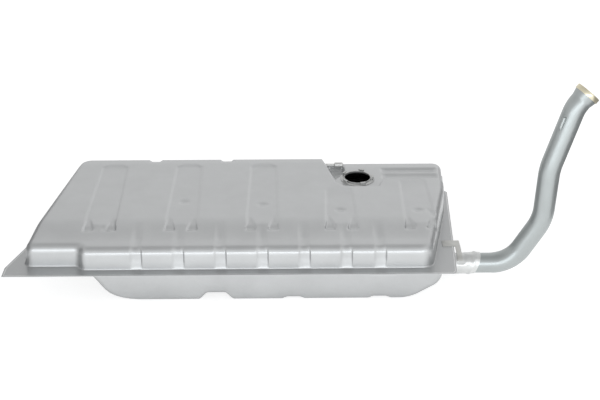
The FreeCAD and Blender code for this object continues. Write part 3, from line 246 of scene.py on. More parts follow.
SEAT_LEFT_BACK = (0.156, 0.311)
SEAT_LEFT_FRONT = (0.203, 0.101)
SEAT_FRONT_LEFT = (0.229, 0.075)
SEAT_FRONT_RIGHT = (0.321, 0.075)
SEAT_STEP = (0.338, 0.119)
SCOOP = [(0.180, 0.241), (0.204, 0.147), (0.233, 0.198), (0.233, 0.241)]
SCOOP_DEPTH = 0.013
TROUGH = (0.333, 0.150, 0.500, 0.222)
TROUGH_DEPTH = 0.005


def seat_share(x, y):
    """1 on the lowered seat, 0 on the plateau, and soft across its wall."""
    round_the_ring = inside(x, y, [(SEAT_LEFT_BACK, SEAT_LEFT_FRONT), (SEAT_LEFT_FRONT, SEAT_FRONT_LEFT),
                                   (SEAT_FRONT_LEFT, SEAT_FRONT_RIGHT)])
    left_of_turn = inside(x, y, [(SEAT_FRONT_RIGHT, SEAT_STEP)])
    return smooth(min(round_the_ring, max(left_of_turn, y - SEAT_STEP[1])), -0.002, 0.009)


def drop(x, y):
    """How far the top lies below the plateau, along the front and at the sender's seat."""
    return (PLATEAU - LIP) * (1 - smooth(y, -0.203, -0.098)) + (PLATEAU - SEAT) * seat_share(x, y)


def press_top(x, y, z):
    """The height of the top after the ribs, pockets, dimples, scoop and trough are pressed in."""
    for centre, back, run in zip(RIB_CENTRES, RIB_BACKS, RIB_BACK_RUNS):
        if abs(x - centre) > 0.06 or not RIB_FRONT - 0.01 < y < back:
            continue
        share = (y - RIB_FRONT) / (back - RIB_FRONT)
        half = (RIB_WIDTHS[0] + (RIB_WIDTHS[1] - RIB_WIDTHS[0]) * share) / 2
        side = half - abs(x - centre)
        corner = (side + back - y - RIB_CORNER) * 0.707
        pressed = smooth(min(side, corner), 0, RIB_EDGE) * smooth(back - y, 0, run)
        z -= pressed * max(z - RIB_FLOOR, 0)
        along = (POCKET_TIP - y) / (POCKET_TIP - POCKET_BASE)
        if 0 < along < POCKET_FADE:
            ramp = min(along, 1)
            off = abs(abs(x - centre) - POCKET_CENTRE + POCKET_SPREAD * along)
            wide = POCKET_TIP_WIDTH + POCKET_WIDENING * ramp
            in_pocket = (1 - smooth(off, wide - 0.004, wide + 0.001)) * (1 - smooth(along, 1, POCKET_FADE))
            z -= POCKET_DEPTH * ramp * in_pocket
    dent_centre = DENT[0] + DENT_SLANT * (DENT[1] - y)
    dent = math.hypot((x - dent_centre) / DENT_SIZE[0], (y - DENT[1]) / DENT_SIZE[1])
    z -= DENT_DEPTH * (1 - smooth(dent, 0, 1.3))
    for dimple_x, dimple_y in DIMPLES:
        away = math.hypot((x - dimple_x) / 1.25, y - dimple_y)
        if away < 0.020:
            z -= DIMPLE_DEPTH * (1 - smooth(away, 0.003, 0.016))
    if x > 0.17 and y > 0.14:
        scoop = inside(x, y, list(zip(SCOOP, SCOOP[1:] + SCOOP[:1])))
        z -= SCOOP_DEPTH * smooth(scoop, -0.001, 0.009)
        left, front, right, back = TROUGH
        trough = min(x - left, right - x, y - front, back - y)
        bead = math.exp(-((y - (front + back) / 2) / 0.010) ** 2)
        z -= TROUGH_DEPTH * smooth(trough, 0, 0.012) * (1 - bead)
    return z


def groove_depth(x, y, z):
    """How deep a front groove is at a point: soft on its left side, sharp on its right at the rim."""
    foot = 0.3 * smooth(z, SEAM + 0.002, SEAM + 0.009) + 0.7 * smooth(z, SEAM + 0.004, SEAM + 0.046)
    for centre, ramp in zip(GROOVES, GROOVE_RAMPS):
        if abs(x - centre) < GROOVE_WIDTH / 2 and y < GROOVE_END:
            at_rim = smooth(-y, -FRONT - TOP_ROUND - 0.004, -FRONT - 0.004)
            left = smooth(x - centre + GROOVE_WIDTH / 2, 0, 0.013 + 0.005 * (1 - at_rim))
            right = smooth(centre + GROOVE_WIDTH / 2 - x, 0, 0.004 + 0.014 * (1 - at_rim))
            depth = ramp + (GROOVE_DEPTH - ramp) * at_rim
            on_lip = 0.85 - 0.30 * smooth(-y, 0.180, 0.205) * (1 - at_rim)
            return depth * left * right * foot * on_lip * min((GROOVE_END - y) / 0.066, 1)
    return 0


def notch_depth(x, y, z):
    """How deep a notch over the back edge is at a point."""
    foot = smooth(z, SEAM + 0.014, SEAM + 0.028)
    for centre in NOTCHES:
        if abs(x - centre) < NOTCH_WIDTH / 2 and y > NOTCH_FRONT:
            side = smooth(NOTCH_WIDTH / 2 - abs(x - centre), 0, 0.008)
            return NOTCH_DEPTH * side * foot * smooth(y, NOTCH_FRONT, BACK - 0.020)
    return 0


# Cuts for the pressings: fine at each edge, coarse between
cuts_x = [-0.66, 0.53]
for centre in RIB_CENTRES:
    for hand in (-1, 1):
        cuts_x += around(centre + hand * 0.0330, 0.0150, 0.003)
for centre in GROOVES:
    for hand in (-1, 1):
        cuts_x += around(centre + hand * (GROOVE_WIDTH / 2 - 0.004), 0.004, 0.002)
for centre in NOTCHES:
    for hand in (-1, 1):
        cuts_x += around(centre + hand * (NOTCH_WIDTH / 2 - 0.004), 0.004, 0.004)
cuts_x += around(0.200, 0.040, 0.004)
cuts_x += around(0.330, 0.012, 0.004)
cuts_y = [-0.28, 0.30]
cuts_y += around(-0.150, 0.055, 0.005)
for back in (0.064, 0.107, 0.216):
    cuts_y += around(back - 0.004, 0.006, 0.003)
cuts_y += around(SEAT_FRONT_LEFT[1] + 0.008, 0.009, 0.003)
cuts_y += around(0.186, 0.040, 0.004)
cuts_y += around(0.235, 0.010, 0.005)
for dimple_x, dimple_y in DIMPLES:
    cuts_x += around(dimple_x, 0.012, 0.004)
    cuts_y += around(dimple_y, 0.010, 0.005)
bpy.ops.object.mode_set(mode="EDIT")
cut_square(upper_pan, 2, [SEAM + 0.009 * step for step in range(1, 6)])
cut_square(upper_pan, 1, spaced(cuts_y, 0.009))
cut_square(upper_pan, 0, spaced(cuts_x, 0.011))
bpy.ops.mesh.select_all(action="SELECT")
bpy.ops.mesh.remove_doubles(threshold=0.00003)
bpy.ops.mesh.normals_make_consistent(inside=False)
bpy.ops.object.mode_set(mode="OBJECT")
wall_top = PLATEAU - TOP_ROUND
wall_foot = SEAM + SHEET


def way_out(y, z):
    """Square to the pan's surface over its front or back edge."""
    ahead = max(FRONT + 0.006 + TOP_ROUND - y, 0) if y < 0 else max(y - BACK + 0.004 + TOP_ROUND, 0)
    above = max(z - wall_top, 0)
    if ahead + above < 0.0001:
        above = 1
    return Vector((0, -ahead if y < 0 else ahead, above)).normalized()


for vertex in upper_pan.data.vertices:
    x, y, z = vertex.co
    if z < wall_foot + 0.0005:
        continue
    depth = groove_depth(x, y, z) + notch_depth(x, y, z)
    height = min((z - wall_foot) / (wall_top - wall_foot), 1)
    new_z = z - drop(x, y) * height
    if height == 1:
        new_z = press_top(x, y, new_z) - BACK_ROLL * smooth(y, 0.214, 0.270)
    vertex.co = Vector((x, y, new_z)) - way_out(y, z) * depth


def coated_steel(name, colour, metallic, roughness, wave=0.25, painted_shade_below=None):
    """Rolled sheet with a thin coat: soft patches of tone, slow waves and a fine grain.

    Below a height, if one is given, the colour is darkened as painted shade, as on the flange.
    """
    patch = 0.04
    grain = 0.04
    flange_shade_level = 0.88
    material = bpy.data.materials.new(name)
    material.use_nodes = True
    nodes = material.node_tree.nodes
    links = material.node_tree.links
    shader = nodes["Principled BSDF"]
    shader.inputs["Metallic"].default_value = metallic
    place = nodes.new("ShaderNodeTexCoord")

    def noise(scale, detail, rough=0.5):
        texture = nodes.new("ShaderNodeTexNoise")
        texture.inputs["Scale"].default_value = scale
        texture.inputs["Detail"].default_value = detail
        texture.inputs["Roughness"].default_value = rough
        links.new(place.outputs["Object"], texture.inputs["Vector"])
        return texture

    def times(tone, share):
        product = nodes.new("ShaderNodeMix")
        product.data_type = "RGBA"
        product.blend_type = "MULTIPLY"
        product.inputs["Factor"].default_value = 1
        links.new(tone, product.inputs["A"])
        links.new(share, product.inputs["B"])
        return product.outputs["Result"]

    clouds = noise(14, 6, 0.6)
    specks = noise(420, 2)
    waves = noise(9, 2, 0.4)
    tone = nodes.new("ShaderNodeMix")
    tone.data_type = "RGBA"
    tone.inputs["A"].default_value = (*[part * (1 - patch) for part in colour], 1)
    tone.inputs["B"].default_value = (*[part * (1 + patch) for part in colour], 1)
    spread = nodes.new("ShaderNodeMapRange")
    spread.inputs["From Min"].default_value = 0.3
    spread.inputs["From Max"].default_value = 0.7
    links.new(clouds.outputs["Fac"], spread.inputs["Value"])
    links.new(spread.outputs["Result"], tone.inputs["Factor"])
    speck_range = nodes.new("ShaderNodeMapRange")
    speck_range.inputs["To Min"].default_value = 0.96
    speck_range.inputs["To Max"].default_value = 1.04
    links.new(specks.outputs["Fac"], speck_range.inputs["Value"])
    last_tone = times(tone.outputs["Result"], speck_range.outputs["Result"])
    if painted_shade_below is not None:
        height = nodes.new("ShaderNodeSeparateXYZ")
        links.new(place.outputs["Object"], height.inputs["Vector"])
        flange_shade = nodes.new("ShaderNodeMapRange")
        flange_shade.inputs["From Min"].default_value = painted_shade_below
        flange_shade.inputs["From Max"].default_value = painted_shade_below + 0.002
        flange_shade.inputs["To Min"].default_value = flange_shade_level
        links.new(height.outputs["Z"], flange_shade.inputs["Value"])
        last_tone = times(last_tone, flange_shade.outputs["Result"])
    links.new(last_tone, shader.inputs["Base Color"])
    sheen = nodes.new("ShaderNodeMapRange")
    sheen.inputs["From Min"].default_value = 0.3
    sheen.inputs["From Max"].default_value = 0.7
    sheen.inputs["To Min"].default_value = roughness - 0.03
    sheen.inputs["To Max"].default_value = roughness + 0.03
    links.new(clouds.outputs["Fac"], sheen.inputs["Value"])
    links.new(sheen.outputs["Result"], shader.inputs["Roughness"])
    slow = nodes.new("ShaderNodeBump")
    slow.inputs["Strength"].default_value = wave
    slow.inputs["Distance"].default_value = 0.001
    links.new(waves.outputs["Fac"], slow.inputs["Height"])
    fine = nodes.new("ShaderNodeBump")
    fine.inputs["Strength"].default_value = grain
    fine.inputs["Distance"].default_value = 0.0004
    links.new(specks.outputs["Fac"], fine.inputs["Height"])
    links.new(slow.outputs["Normal"], fine.inputs["Normal"])
    links.new(fine.outputs["Normal"], shader.inputs["Normal"])
    return material


PAN_SILVER = (0.585, 0.595, 0.60)
pan_finish = coated_steel("pan_silver", PAN_SILVER, 0.9, 0.41, wave=0.35)
# Painted shade: the upper pan's flange is darker in colour than its walls and top.
flange_shaded_finish = coated_steel("pan_silver_painted_shade_rim", PAN_SILVER, 0.9, 0.41, wave=0.35,
                          painted_shade_below=wall_foot + 0.0005)
# Painted shade: the inner faces of the sheets are near black, standing in for the shade inside the tank,
# neck and ferrule.
inside_painted_shade = coated_steel("inside_painted_shade", (0.035, 0.035, 0.035), 0.3, 0.6)


def give_thickness(piece, thickness):
    """Turns a surface into a sheet whose outer face stays where it is."""
    bpy.ops.object.select_all(action="DESELECT")
    piece.select_set(True)
    bpy.context.view_layer.objects.active = piece
    sheet = piece.modifiers.new("Sheet", "SOLIDIFY")
    sheet.thickness = thickness
    sheet.offset = -1
    sheet.material_offset = 1
    bpy.ops.object.modifier_apply(modifier="Sheet")


for finish in (flange_shaded_finish, inside_painted_shade):
    upper_pan.data.materials.append(finish)
give_thickness(upper_pan, SHEET)


def punch(piece, place, radius, depth, turn=(0, 0, 0)):
    """Punches a round hole through a piece."""
    bpy.ops.object.select_all(action="DESELECT")
    bpy.ops.mesh.primitive_cylinder_add(vertices=96, radius=radius, depth=depth, location=place,
                                        rotation=turn)
    tool = bpy.context.object
    bpy.ops.object.select_all(action="DESELECT")
    bpy.context.view_layer.objects.active = piece
    cut = piece.modifiers.new("Hole", "BOOLEAN")
    cut.operation = "DIFFERENCE"
    cut.object = tool
    bpy.ops.object.modifier_apply(modifier="Hole")
    bpy.data.objects.remove(tool)


ALONG_X = (0, math.radians(90), 0)
punch(upper_pan, (*SENDER, SEAT), 0.038, 0.020)
punch(upper_pan, (0.190, *VENT_LEVEL), 0.0043, 0.060, ALONG_X)


def soften(piece, degrees):
    """Shades a piece smooth up to an angle."""
    bpy.ops.object.select_all(action="DESELECT")
    piece.select_set(True)
    bpy.context.view_layer.objects.active = piece
    bpy.ops.object.shade_smooth_by_angle(angle=math.radians(degrees))


soften(upper_pan, 35)
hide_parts("upper_shell")
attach(upper_pan, "root")

# Lower pan: the same sheet, shallower at its slanted ends, with one deep channel for the strap
# that holds the tank and two shallow stiffening channels pressed across its bottom.
LOWER_FRONT = -0.240
LOWER_BACK = 0.263
LOWER_LEAN = 0.006
# Side view of the pan (x, z): an S-curve at its left end, a slanted end at its right
LOWER_PROFILE = [
    (-0.4700, 0.0990), (-0.4600, 0.0955), (-0.4500, 0.0895), (-0.4405, 0.0800), (-0.4315, 0.0680),
    (-0.4240, 0.0570), (-0.4165, 0.0450), (-0.4080, 0.0330), (-0.3970, 0.0215), (-0.3820, 0.0125),
    (-0.3640, 0.0060), (-0.3430, 0.0020), (-0.3200, 0), (0.3840, 0), (0.4660, 0.0520), (0.4660, 0.0990),
]
LOWER_LEVEL = SEAM - SHEET
LOWER_BEND = 0.024
LOWER_ROUND = 0.012
# Centre, width at the bottom's level, width at the channel's own floor, depth
CHANNELS = [(-0.120, 0.088, 0.048, 0.020), (0.081, 0.057, 0.034, 0.0055), (0.306, 0.057, 0.034, 0.0055)]
CHANNEL_FADE = 0.060
HEM = (0.272, 0.343)
HEM_DROP = 0.005
# Where the neck's foot goes through the slanted right end (y, z)
NECK_LEVEL = (-0.171, 0.071)

bpy.ops.object.select_all(action="DESELECT")
bpy.ops.mesh.primitive_circle_add(vertices=len(LOWER_PROFILE), radius=0.5, fill_type="NGON")
lower_pan = bpy.context.object
lower_pan.name = "lower_pan"
for vertex, (x, z) in zip(lower_pan.data.vertices, LOWER_PROFILE):
    vertex.co = (x, LOWER_FRONT, z)
bpy.ops.object.mode_set(mode="EDIT")
bpy.ops.mesh.select_all(action="SELECT")
bpy.ops.mesh.extrude_region_move(TRANSFORM_OT_translate={"value": (0, LOWER_BACK - LOWER_FRONT, 0)})
bpy.ops.mesh.select_all(action="SELECT")
bpy.ops.mesh.normals_make_consistent(inside=False)
mesh = bmesh.from_edit_mesh(lower_pan.data)
for vertex in mesh.verts:
    lean = LOWER_LEAN * (1 - vertex.co.z / LOWER_LEVEL)
    vertex.co.y += lean if vertex.co.y < 0 else -lean
bmesh.update_edit_mesh(lower_pan.data)


def lies_across(edge):
    first, second = edge.verts
    return abs(first.co.y - second.co.y) > 0.3 and first.co.x > 0.3 and first.co.z < LOWER_LEVEL - 0.005


choose(lower_pan, "EDGE", lies_across)
bpy.ops.mesh.bevel(offset=LOWER_BEND, segments=7, affect="EDGES", clamp_overlap=False)
choose(lower_pan, "FACE", lambda f: min(v.co.z for v in f.verts) > LOWER_LEVEL - 0.0001)
bpy.ops.mesh.delete(type="ONLY_FACE")
choose(lower_pan, "EDGE", lambda e: len(e.link_faces) == 2 and e.calc_face_angle(0) > 0.6)
bpy.ops.mesh.bevel(offset=LOWER_ROUND, segments=6, affect="EDGES", clamp_overlap=False)
add_flange(lower_pan, LOWER_LEVEL)
choose(lower_pan, "EDGE", lambda e: len(e.link_faces) == 2 and e.calc_face_angle(0) > 0.7
       and min(v.co.z for v in e.verts) > LOWER_LEVEL - 0.0001)
bpy.ops.mesh.bevel(offset=FOOT_ROUND, segments=3, affect="EDGES", clamp_overlap=False)
marks = [-0.66, 0.53, *HEM]
for centre, wide, narrow, depth in CHANNELS:
    for hand in (-1, 1):
        marks += around(centre + hand * (wide + narrow) / 4, 0.015, 0.003)
cut_square(lower_pan, 0, spaced(marks, 0.012))
cut_square(lower_pan, 1, spaced([-0.28, LOWER_FRONT, LOWER_BACK, 0.30], 0.012))
cut_square(lower_pan, 2, [0.006 * step for step in range(1, 16)])
bpy.ops.mesh.select_all(action="SELECT")
bpy.ops.mesh.remove_doubles(threshold=0.00003)
choose(lower_pan, "EDGE", lambda e: e.is_boundary and max(v.co.y for v in e.verts) < -0.2719
       and HEM[0] - 0.0001 < min(v.co.x for v in e.verts)
       and max(v.co.x for v in e.verts) < HEM[1] + 0.0001)
bpy.ops.mesh.extrude_edges_move(TRANSFORM_OT_translate={"value": (0, 0.001, -HEM_DROP)})
bpy.ops.mesh.select_all(action="SELECT")
bpy.ops.mesh.normals_make_consistent(inside=True)
bpy.ops.object.mode_set(mode="OBJECT")


def channel_lift(x, z):
    """How far the bottom is raised in a channel; the lift dies out up the walls."""
    lift = 0
    for centre, wide, narrow, depth in CHANNELS:
        if abs(x - centre) < wide / 2 + 0.004:
            lift = depth * smooth(wide / 2 - abs(x - centre), -0.003, (wide - narrow) / 2 + 0.003)
    return lift * (1 - smooth(z, 0.002, CHANNEL_FADE))


for vertex in lower_pan.data.vertices:
    x, y, z = vertex.co
    if z < CHANNEL_FADE:
        vertex.co.z = z + channel_lift(x, z)
for finish in (pan_finish, inside_painted_shade):
    lower_pan.data.materials.append(finish)
give_thickness(lower_pan, SHEET)
punch(lower_pan, (0.455, *NECK_LEVEL), 0.0272, 0.080, ALONG_X)
# The thickness leaves the hem proud of the flange's edge and a sharp fold proud of the seam
for vertex in lower_pan.data.vertices:
    vertex.co.y = max(vertex.co.y, FLANGE_CORNERS[0][1])
    vertex.co.z = min(vertex.co.z, SEAM)
for face in lower_pan.data.polygons:
    if face.center.y < FLANGE_CORNERS[0][1] + 0.0015 and face.center.z < LOWER_LEVEL:
        face.material_index = 0
soften(lower_pan, 35)
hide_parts("lower_shell")
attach(lower_pan, "root")

# Seam weld: the flat bead that joins the two flanges, all the way round. It is the pans' own steel,
# pressed flat by the welding wheels a little way inside the flange's edge.
SEAM_INSET = 0.004
BEAD_RADIUS = 0.0016
BEAD_FLATNESS = 0.25
bpy.ops.object.select_all(action="DESELECT")
bpy.ops.mesh.primitive_circle_add(vertices=len(FLANGE_CORNERS), radius=0.5, fill_type="NOTHING")
seam_bead = bpy.context.object
seam_bead.name = "seam_bead"
corners = [Vector(corner) for corner in FLANGE_CORNERS]
for number, vertex in enumerate(seam_bead.data.vertices):
    before = (corners[number] - corners[number - 1]).normalized()
    after = (corners[(number + 1) % len(corners)] - corners[number]).normalized()
    inwards = Vector((-before.y, before.x)) + Vector((-after.y, after.x))
    place = corners[number] + inwards * SEAM_INSET / (1 + before.dot(after))
    vertex.co = (place.x, place.y, 0)
bpy.ops.object.mode_set(mode="EDIT")
bpy.ops.mesh.select_all(action="SELECT")
bpy.ops.mesh.bevel(offset=0.003, segments=3, affect="VERTICES", clamp_overlap=True)
bpy.ops.object.mode_set(mode="OBJECT")
bpy.ops.object.convert(target="CURVE")
seam_bead.data.dimensions = "3D"
seam_bead.data.bevel_depth = BEAD_RADIUS
seam_bead.data.bevel_resolution = 3
bpy.ops.object.convert(target="MESH")
seam_bead = bpy.context.object
seam_bead.scale = (1, 1, BEAD_FLATNESS)
seam_bead.location = (0, 0, SEAM + SHEET)
bpy.ops.object.transform_apply(location=True, rotation=True, scale=True)
soften(seam_bead, 60)
# Painted highlight: the bead's colour is lighter than the pans' steel, so that it reads as a light line
# along the flange.
bead_finish = coated_steel("bead_silver", (0.70, 0.71, 0.71), 0.9, 0.33, wave=0.05)
seam_bead.data.materials.append(bead_finish)
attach(seam_bead, "root")

# Slosh plate: a flat steel plate with five round holes, welded across the inside under the row of
# dimples. It can be seen only through the sender's opening.


def refine(name, node, edge, finish):
    """A merged copy of a CAD node with its sharp edges broken, which stands in its place."""
    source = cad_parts[node]
    piece = bpy.data.objects.new(name, source.data.copy())
    bpy.context.scene.collection.objects.link(piece)
    piece.data.materials.clear()
    bpy.ops.object.select_all(action="DESELECT")
    piece.select_set(True)
    bpy.context.view_layer.objects.active = piece
    bpy.ops.object.mode_set(mode="EDIT")
    bpy.ops.mesh.select_all(action="SELECT")
    bpy.ops.mesh.remove_doubles(threshold=0.00001)
    bpy.ops.mesh.dissolve_limited(angle_limit=math.radians(0.5))
    bpy.ops.mesh.normals_make_consistent(inside=False)
    bpy.ops.object.mode_set(mode="OBJECT")
    if edge:
        broken = piece.modifiers.new("Edges", "BEVEL")
        broken.width = edge
        broken.segments = 2
        broken.limit_method = "ANGLE"
        broken.angle_limit = math.radians(40)
        bpy.ops.object.modifier_apply(modifier="Edges")
    bpy.ops.object.shade_smooth_by_angle(angle=math.radians(35))
    piece.data.materials.append(finish)
    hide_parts(node)
    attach(piece, "root")
    return piece


slosh_finish = coated_steel("plate_steel", (0.52, 0.53, 0.54), 0.9, 0.45)
refine("slosh_plate_sheet", "slosh_plate", 0.0002, slosh_finish)

# Sender's locking ring: a stamped ring with an upright wall and five bent tabs, soldered into the
# lowered seat over the round hole in the pan.
ring_finish = coated_steel("ring_silver", (0.55, 0.555, 0.55), 0.9, 0.42)
refine("locking_ring", "sender_lock_ring", 0.0003, ring_finish)

# Vent pipe: a short bright-plated steel pipe, soldered through the wall of the sender's seat, with
# a turned sleeve of the same finish pushed on its end.


def turned_piece(name, profile, place, axis, steps=48):
    """A body of revolution from (radius, height) pairs in a closed ring, stood on an axis."""
    bpy.ops.object.select_all(action="DESELECT")
    bpy.ops.mesh.primitive_circle_add(vertices=len(profile), radius=0.01, fill_type="NOTHING")
    piece = bpy.context.object
    piece.name = name
    for vertex, (radius, height) in zip(piece.data.vertices, profile):
        vertex.co = (radius, 0, height)
    bpy.ops.object.mode_set(mode="EDIT")
    bpy.ops.mesh.select_all(action="SELECT")
    bpy.ops.mesh.spin(steps=steps, angle=math.radians(360), center=(0, 0, 0), axis=(0, 0, 1))
    bpy.ops.mesh.select_all(action="SELECT")
    bpy.ops.mesh.remove_doubles(threshold=0.00002)
    bpy.ops.mesh.normals_make_consistent(inside=False)
    bpy.ops.object.mode_set(mode="OBJECT")
    broken = piece.modifiers.new("Edges", "BEVEL")
    broken.width = 0.00025
    broken.segments = 2
    broken.limit_method = "ANGLE"
    broken.angle_limit = math.radians(30)
    bpy.ops.object.modifier_apply(modifier="Edges")
    bpy.ops.object.shade_smooth_by_angle(angle=math.radians(35))
    piece.location = place
    piece.rotation_euler = Vector(axis).to_track_quat("Z", "Y").to_euler()
    bpy.ops.object.transform_apply(location=True, rotation=True, scale=True)
    return piece


vent_finish = coated_steel("bright_plating", (0.68, 0.68, 0.67), 0.8, 0.34, wave=0.05)
vent_pipe = turned_piece("vent_tube", [(0.0032, 0.096), (0.004, 0.096), (0.004, 0.222), (0.0032, 0.222)],
                         (0, *VENT_LEVEL), (1, 0, 0))
vent_sleeve = turned_piece("vent_end", [
    (0.0042, 0.204), (0.0065, 0.204), (0.0075, 0.205), (0.0075, 0.225), (0.0072, 0.2265), (0.0063, 0.2278),
    (0.0052, 0.2286), (0.0038, 0.229), (0.0032, 0.229), (0.0032, 0.2222), (0.0042, 0.2222)],
    (0, *VENT_LEVEL), (1, 0, 0))
for piece, node in ((vent_pipe, "vent_pipe"), (vent_sleeve, "vent_sleeve")):
    piece.data.materials.append(vent_finish)
    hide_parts(node)
    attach(piece, "root")

# Filler neck: a bent steel tube with a silver coat, flared where the mouth's collar sits. Its foot
# is soldered into the ferrule and opens into the tank.
NECK_RADIUS = 0.0255
NECK_WALL = 0.0012
NECK_FULLER = 0.0018
# Start and end of the fuller stretch's ramp, as the sum of x and z
FULLER_REACH = (0.650, 0.690)
NECK_ROUTE = [
    (0.439985, *NECK_LEVEL), (0.652, *NECK_LEVEL), (0.725, -0.171, 0.201), (0.732, -0.160, 0.340),
    (0.785, -0.136, 0.500), (0.812, -0.128, 0.531),
]
NECK_BENDS = [0.088, 0.130, 0.150, 0.088]
MOUTH = Vector(NECK_ROUTE[-1])
MOUTH_AXIS = (MOUTH - Vector(NECK_ROUTE[-2])).normalized()
FLARE_LENGTH = 0.016
FLARE_STEP = 0.0055
COLLAR_LAP = 0.005


def bent_line(corners, bends, step):
    """Points along straight runs joined by arcs, an even step apart on the arcs."""
    line = [Vector(corners[0])]
    for corner, bend, before, after in zip(corners[1:-1], bends, corners, corners[2:]):
        corner = Vector(corner)
        back = (Vector(before) - corner).normalized()
        forth = (Vector(after) - corner).normalized()
        half_turn = (math.pi - back.angle(forth)) / 2
        centre = corner + (back + forth).normalized() * (bend / math.cos(half_turn))
        first = corner + back * bend * math.tan(half_turn)
        last = corner + forth * bend * math.tan(half_turn)
        count = max(round(2 * half_turn * bend / step), 4)
        for number in range(count + 1):
            share = number / count
            spoke = (first - centre).slerp(last - centre, share)
            line.append(centre + spoke.normalized() * bend)
    line.append(Vector(corners[-1]))
    return line


def tube_along(name, line, radii, sides):
    """A tube's outer surface along a line of points, with a radius at each."""
    bpy.ops.object.select_all(action="DESELECT")
    curve = bpy.data.curves.new(name, "CURVE")
    curve.dimensions = "3D"
    curve.bevel_depth = 1
    curve.bevel_resolution = sides // 2 - 2
    spline = curve.splines.new("POLY")
    spline.points.add(len(line) - 1)
    for point, place, radius in zip(spline.points, line, radii):
        point.co = (*place, 1)
        point.radius = radius
    piece = bpy.data.objects.new(name, curve)
    bpy.context.scene.collection.objects.link(piece)
    piece.select_set(True)
    bpy.context.view_layer.objects.active = piece
    bpy.ops.object.convert(target="MESH")
    piece = bpy.context.object
    bpy.ops.object.mode_set(mode="EDIT")
    bpy.ops.mesh.select_all(action="SELECT")
    bpy.ops.mesh.remove_doubles(threshold=0.00002)
    bpy.ops.mesh.normals_make_consistent(inside=False)
    bpy.ops.object.mode_set(mode="OBJECT")
    return piece


flare_start = MOUTH - MOUTH_AXIS * (FLARE_LENGTH + COLLAR_LAP)
neck_line = bent_line([*NECK_ROUTE[:-1], flare_start], NECK_BENDS, 0.004)
# The tube grows a little fuller from its foot into its first bend
neck_radii = [NECK_RADIUS + NECK_FULLER * smooth(place.x + place.z, *FULLER_REACH) for place in neck_line]
for step in range(1, 9):
    neck_line.append(flare_start + MOUTH_AXIS * FLARE_LENGTH * step / 8)
    neck_radii.append(NECK_RADIUS + NECK_FULLER + (FLARE_STEP - NECK_FULLER) * step / 8)
neck_line.append(MOUTH)
neck_radii.append(NECK_RADIUS + FLARE_STEP)
neck = tube_along("filler_tube", neck_line, neck_radii, 64)
neck_finish = coated_steel("neck_silver", (0.46, 0.49, 0.49), 0.9, 0.38, wave=0.15)
for finish in (neck_finish, inside_painted_shade):
    neck.data.materials.append(finish)
give_thickness(neck, NECK_WALL)
soften(neck, 35)
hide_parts("filler_neck")
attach(neck, "root")

# Vent nipple of the neck: a small bent steel pipe with the neck's own coat, brazed into a hole in
# the side of the neck's upright run.
refine("neck_nipple", "neck_vent_nipple", 0, neck_finish)

# Ferrule: a sleeve of the same steel soldered into the lower pan, cut at a slant at its outer end,
# and dressed with a hammer round the neck.
FERRULE_RADIUS = 0.0270
FERRULE_WALL = 0.0013
FERRULE_START = 0.445985
FERRULE_END = 0.574
FERRULE_SLANT = math.radians(20)
FERRULE_STEPS = 64
HUMP = 0.0026
HUMPS_START = (0.474, 0.500)
RIDGE = 0.0024
RIDGE_PLACE = 0.548
RIDGE_SLANT = 0.36
RIDGE_WIDTH = 0.0045
# The bracket's leg: the heights between which the marks fade under it, and its end along the tube
LEG_FADE = (0.078, 0.086)
LEG_END = (0.525, 0.535)
ferrule_line = [Vector((FERRULE_START + (FERRULE_END - FERRULE_START) * step / FERRULE_STEPS, *NECK_LEVEL))
                for step in range(FERRULE_STEPS + 1)]
ferrule = tube_along("ferrule", ferrule_line, [FERRULE_RADIUS] * len(ferrule_line), 96)
bpy.ops.object.mode_set(mode="EDIT")
bpy.ops.mesh.select_all(action="SELECT")
bpy.ops.mesh.bisect(plane_co=(FERRULE_END - 0.012, *NECK_LEVEL),
                    plane_no=(math.cos(FERRULE_SLANT), 0, -math.sin(FERRULE_SLANT)), clear_outer=True)
bpy.ops.object.mode_set(mode="OBJECT")
# Hammer marks: humps on the part outside the tank and a ridge near its slanted end. The steel stays
# plain under the bracket's leg.
for vertex in ferrule.data.vertices:
    x, y, z = vertex.co
    spoke = Vector((0, y - NECK_LEVEL[0], z - NECK_LEVEL[1])).normalized()
    knock = (blows(Vector((x * 60, y * 80, z * 80))) + 1) / 2
    ridge = math.exp(-((x - RIDGE_PLACE - RIDGE_SLANT * (z - NECK_LEVEL[1])) / RIDGE_WIDTH) ** 2)
    under_leg = smooth(z, *LEG_FADE) * (1 - smooth(x, *LEG_END))
    vertex.co += spoke * smooth(x, *HUMPS_START) * (1 - under_leg) * (HUMP * knock + RIDGE * ridge)
solder_finish = coated_steel("ferrule_silver", (0.72, 0.73, 0.725), 0.85, 0.36, wave=0.8)
for finish in (solder_finish, inside_painted_shade):
    ferrule.data.materials.append(finish)
give_thickness(ferrule, FERRULE_WALL)
soften(ferrule, 40)
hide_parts("neck_ferrule")
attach(ferrule, "root")

# Mouth collar: a turned steel ring with yellow zinc plating, pressed over the flared end of the
# neck, where the filler cap closes.
zinc_finish = coated_steel("yellow_zinc", (0.80, 0.74, 0.56), 0.9, 0.30, wave=0.05)
collar = turned_piece("mouth_ring", [
    (0.0312, -COLLAR_LAP), (0.0329, -COLLAR_LAP), (0.0329, 0.0066), (0.0325, 0.0074), (0.0318, 0.0077),
    (0.028, 0.0077), (0.028, 0.0002), (0.0312, 0.0002)], MOUTH, MOUTH_AXIS, 96)
collar.data.materials.append(zinc_finish)
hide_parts("mouth_collar")
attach(collar, "root")

# Neck bracket: a bent steel strap with a pale tan coat, welded to the flange. Its leg lies over the
# ferrule and holds the neck.
bracket_finish = coated_steel("bracket_tan", (0.61, 0.61, 0.59), 0.85, 0.45)
refine("bracket", "neck_bracket", 0.0004, bracket_finish)
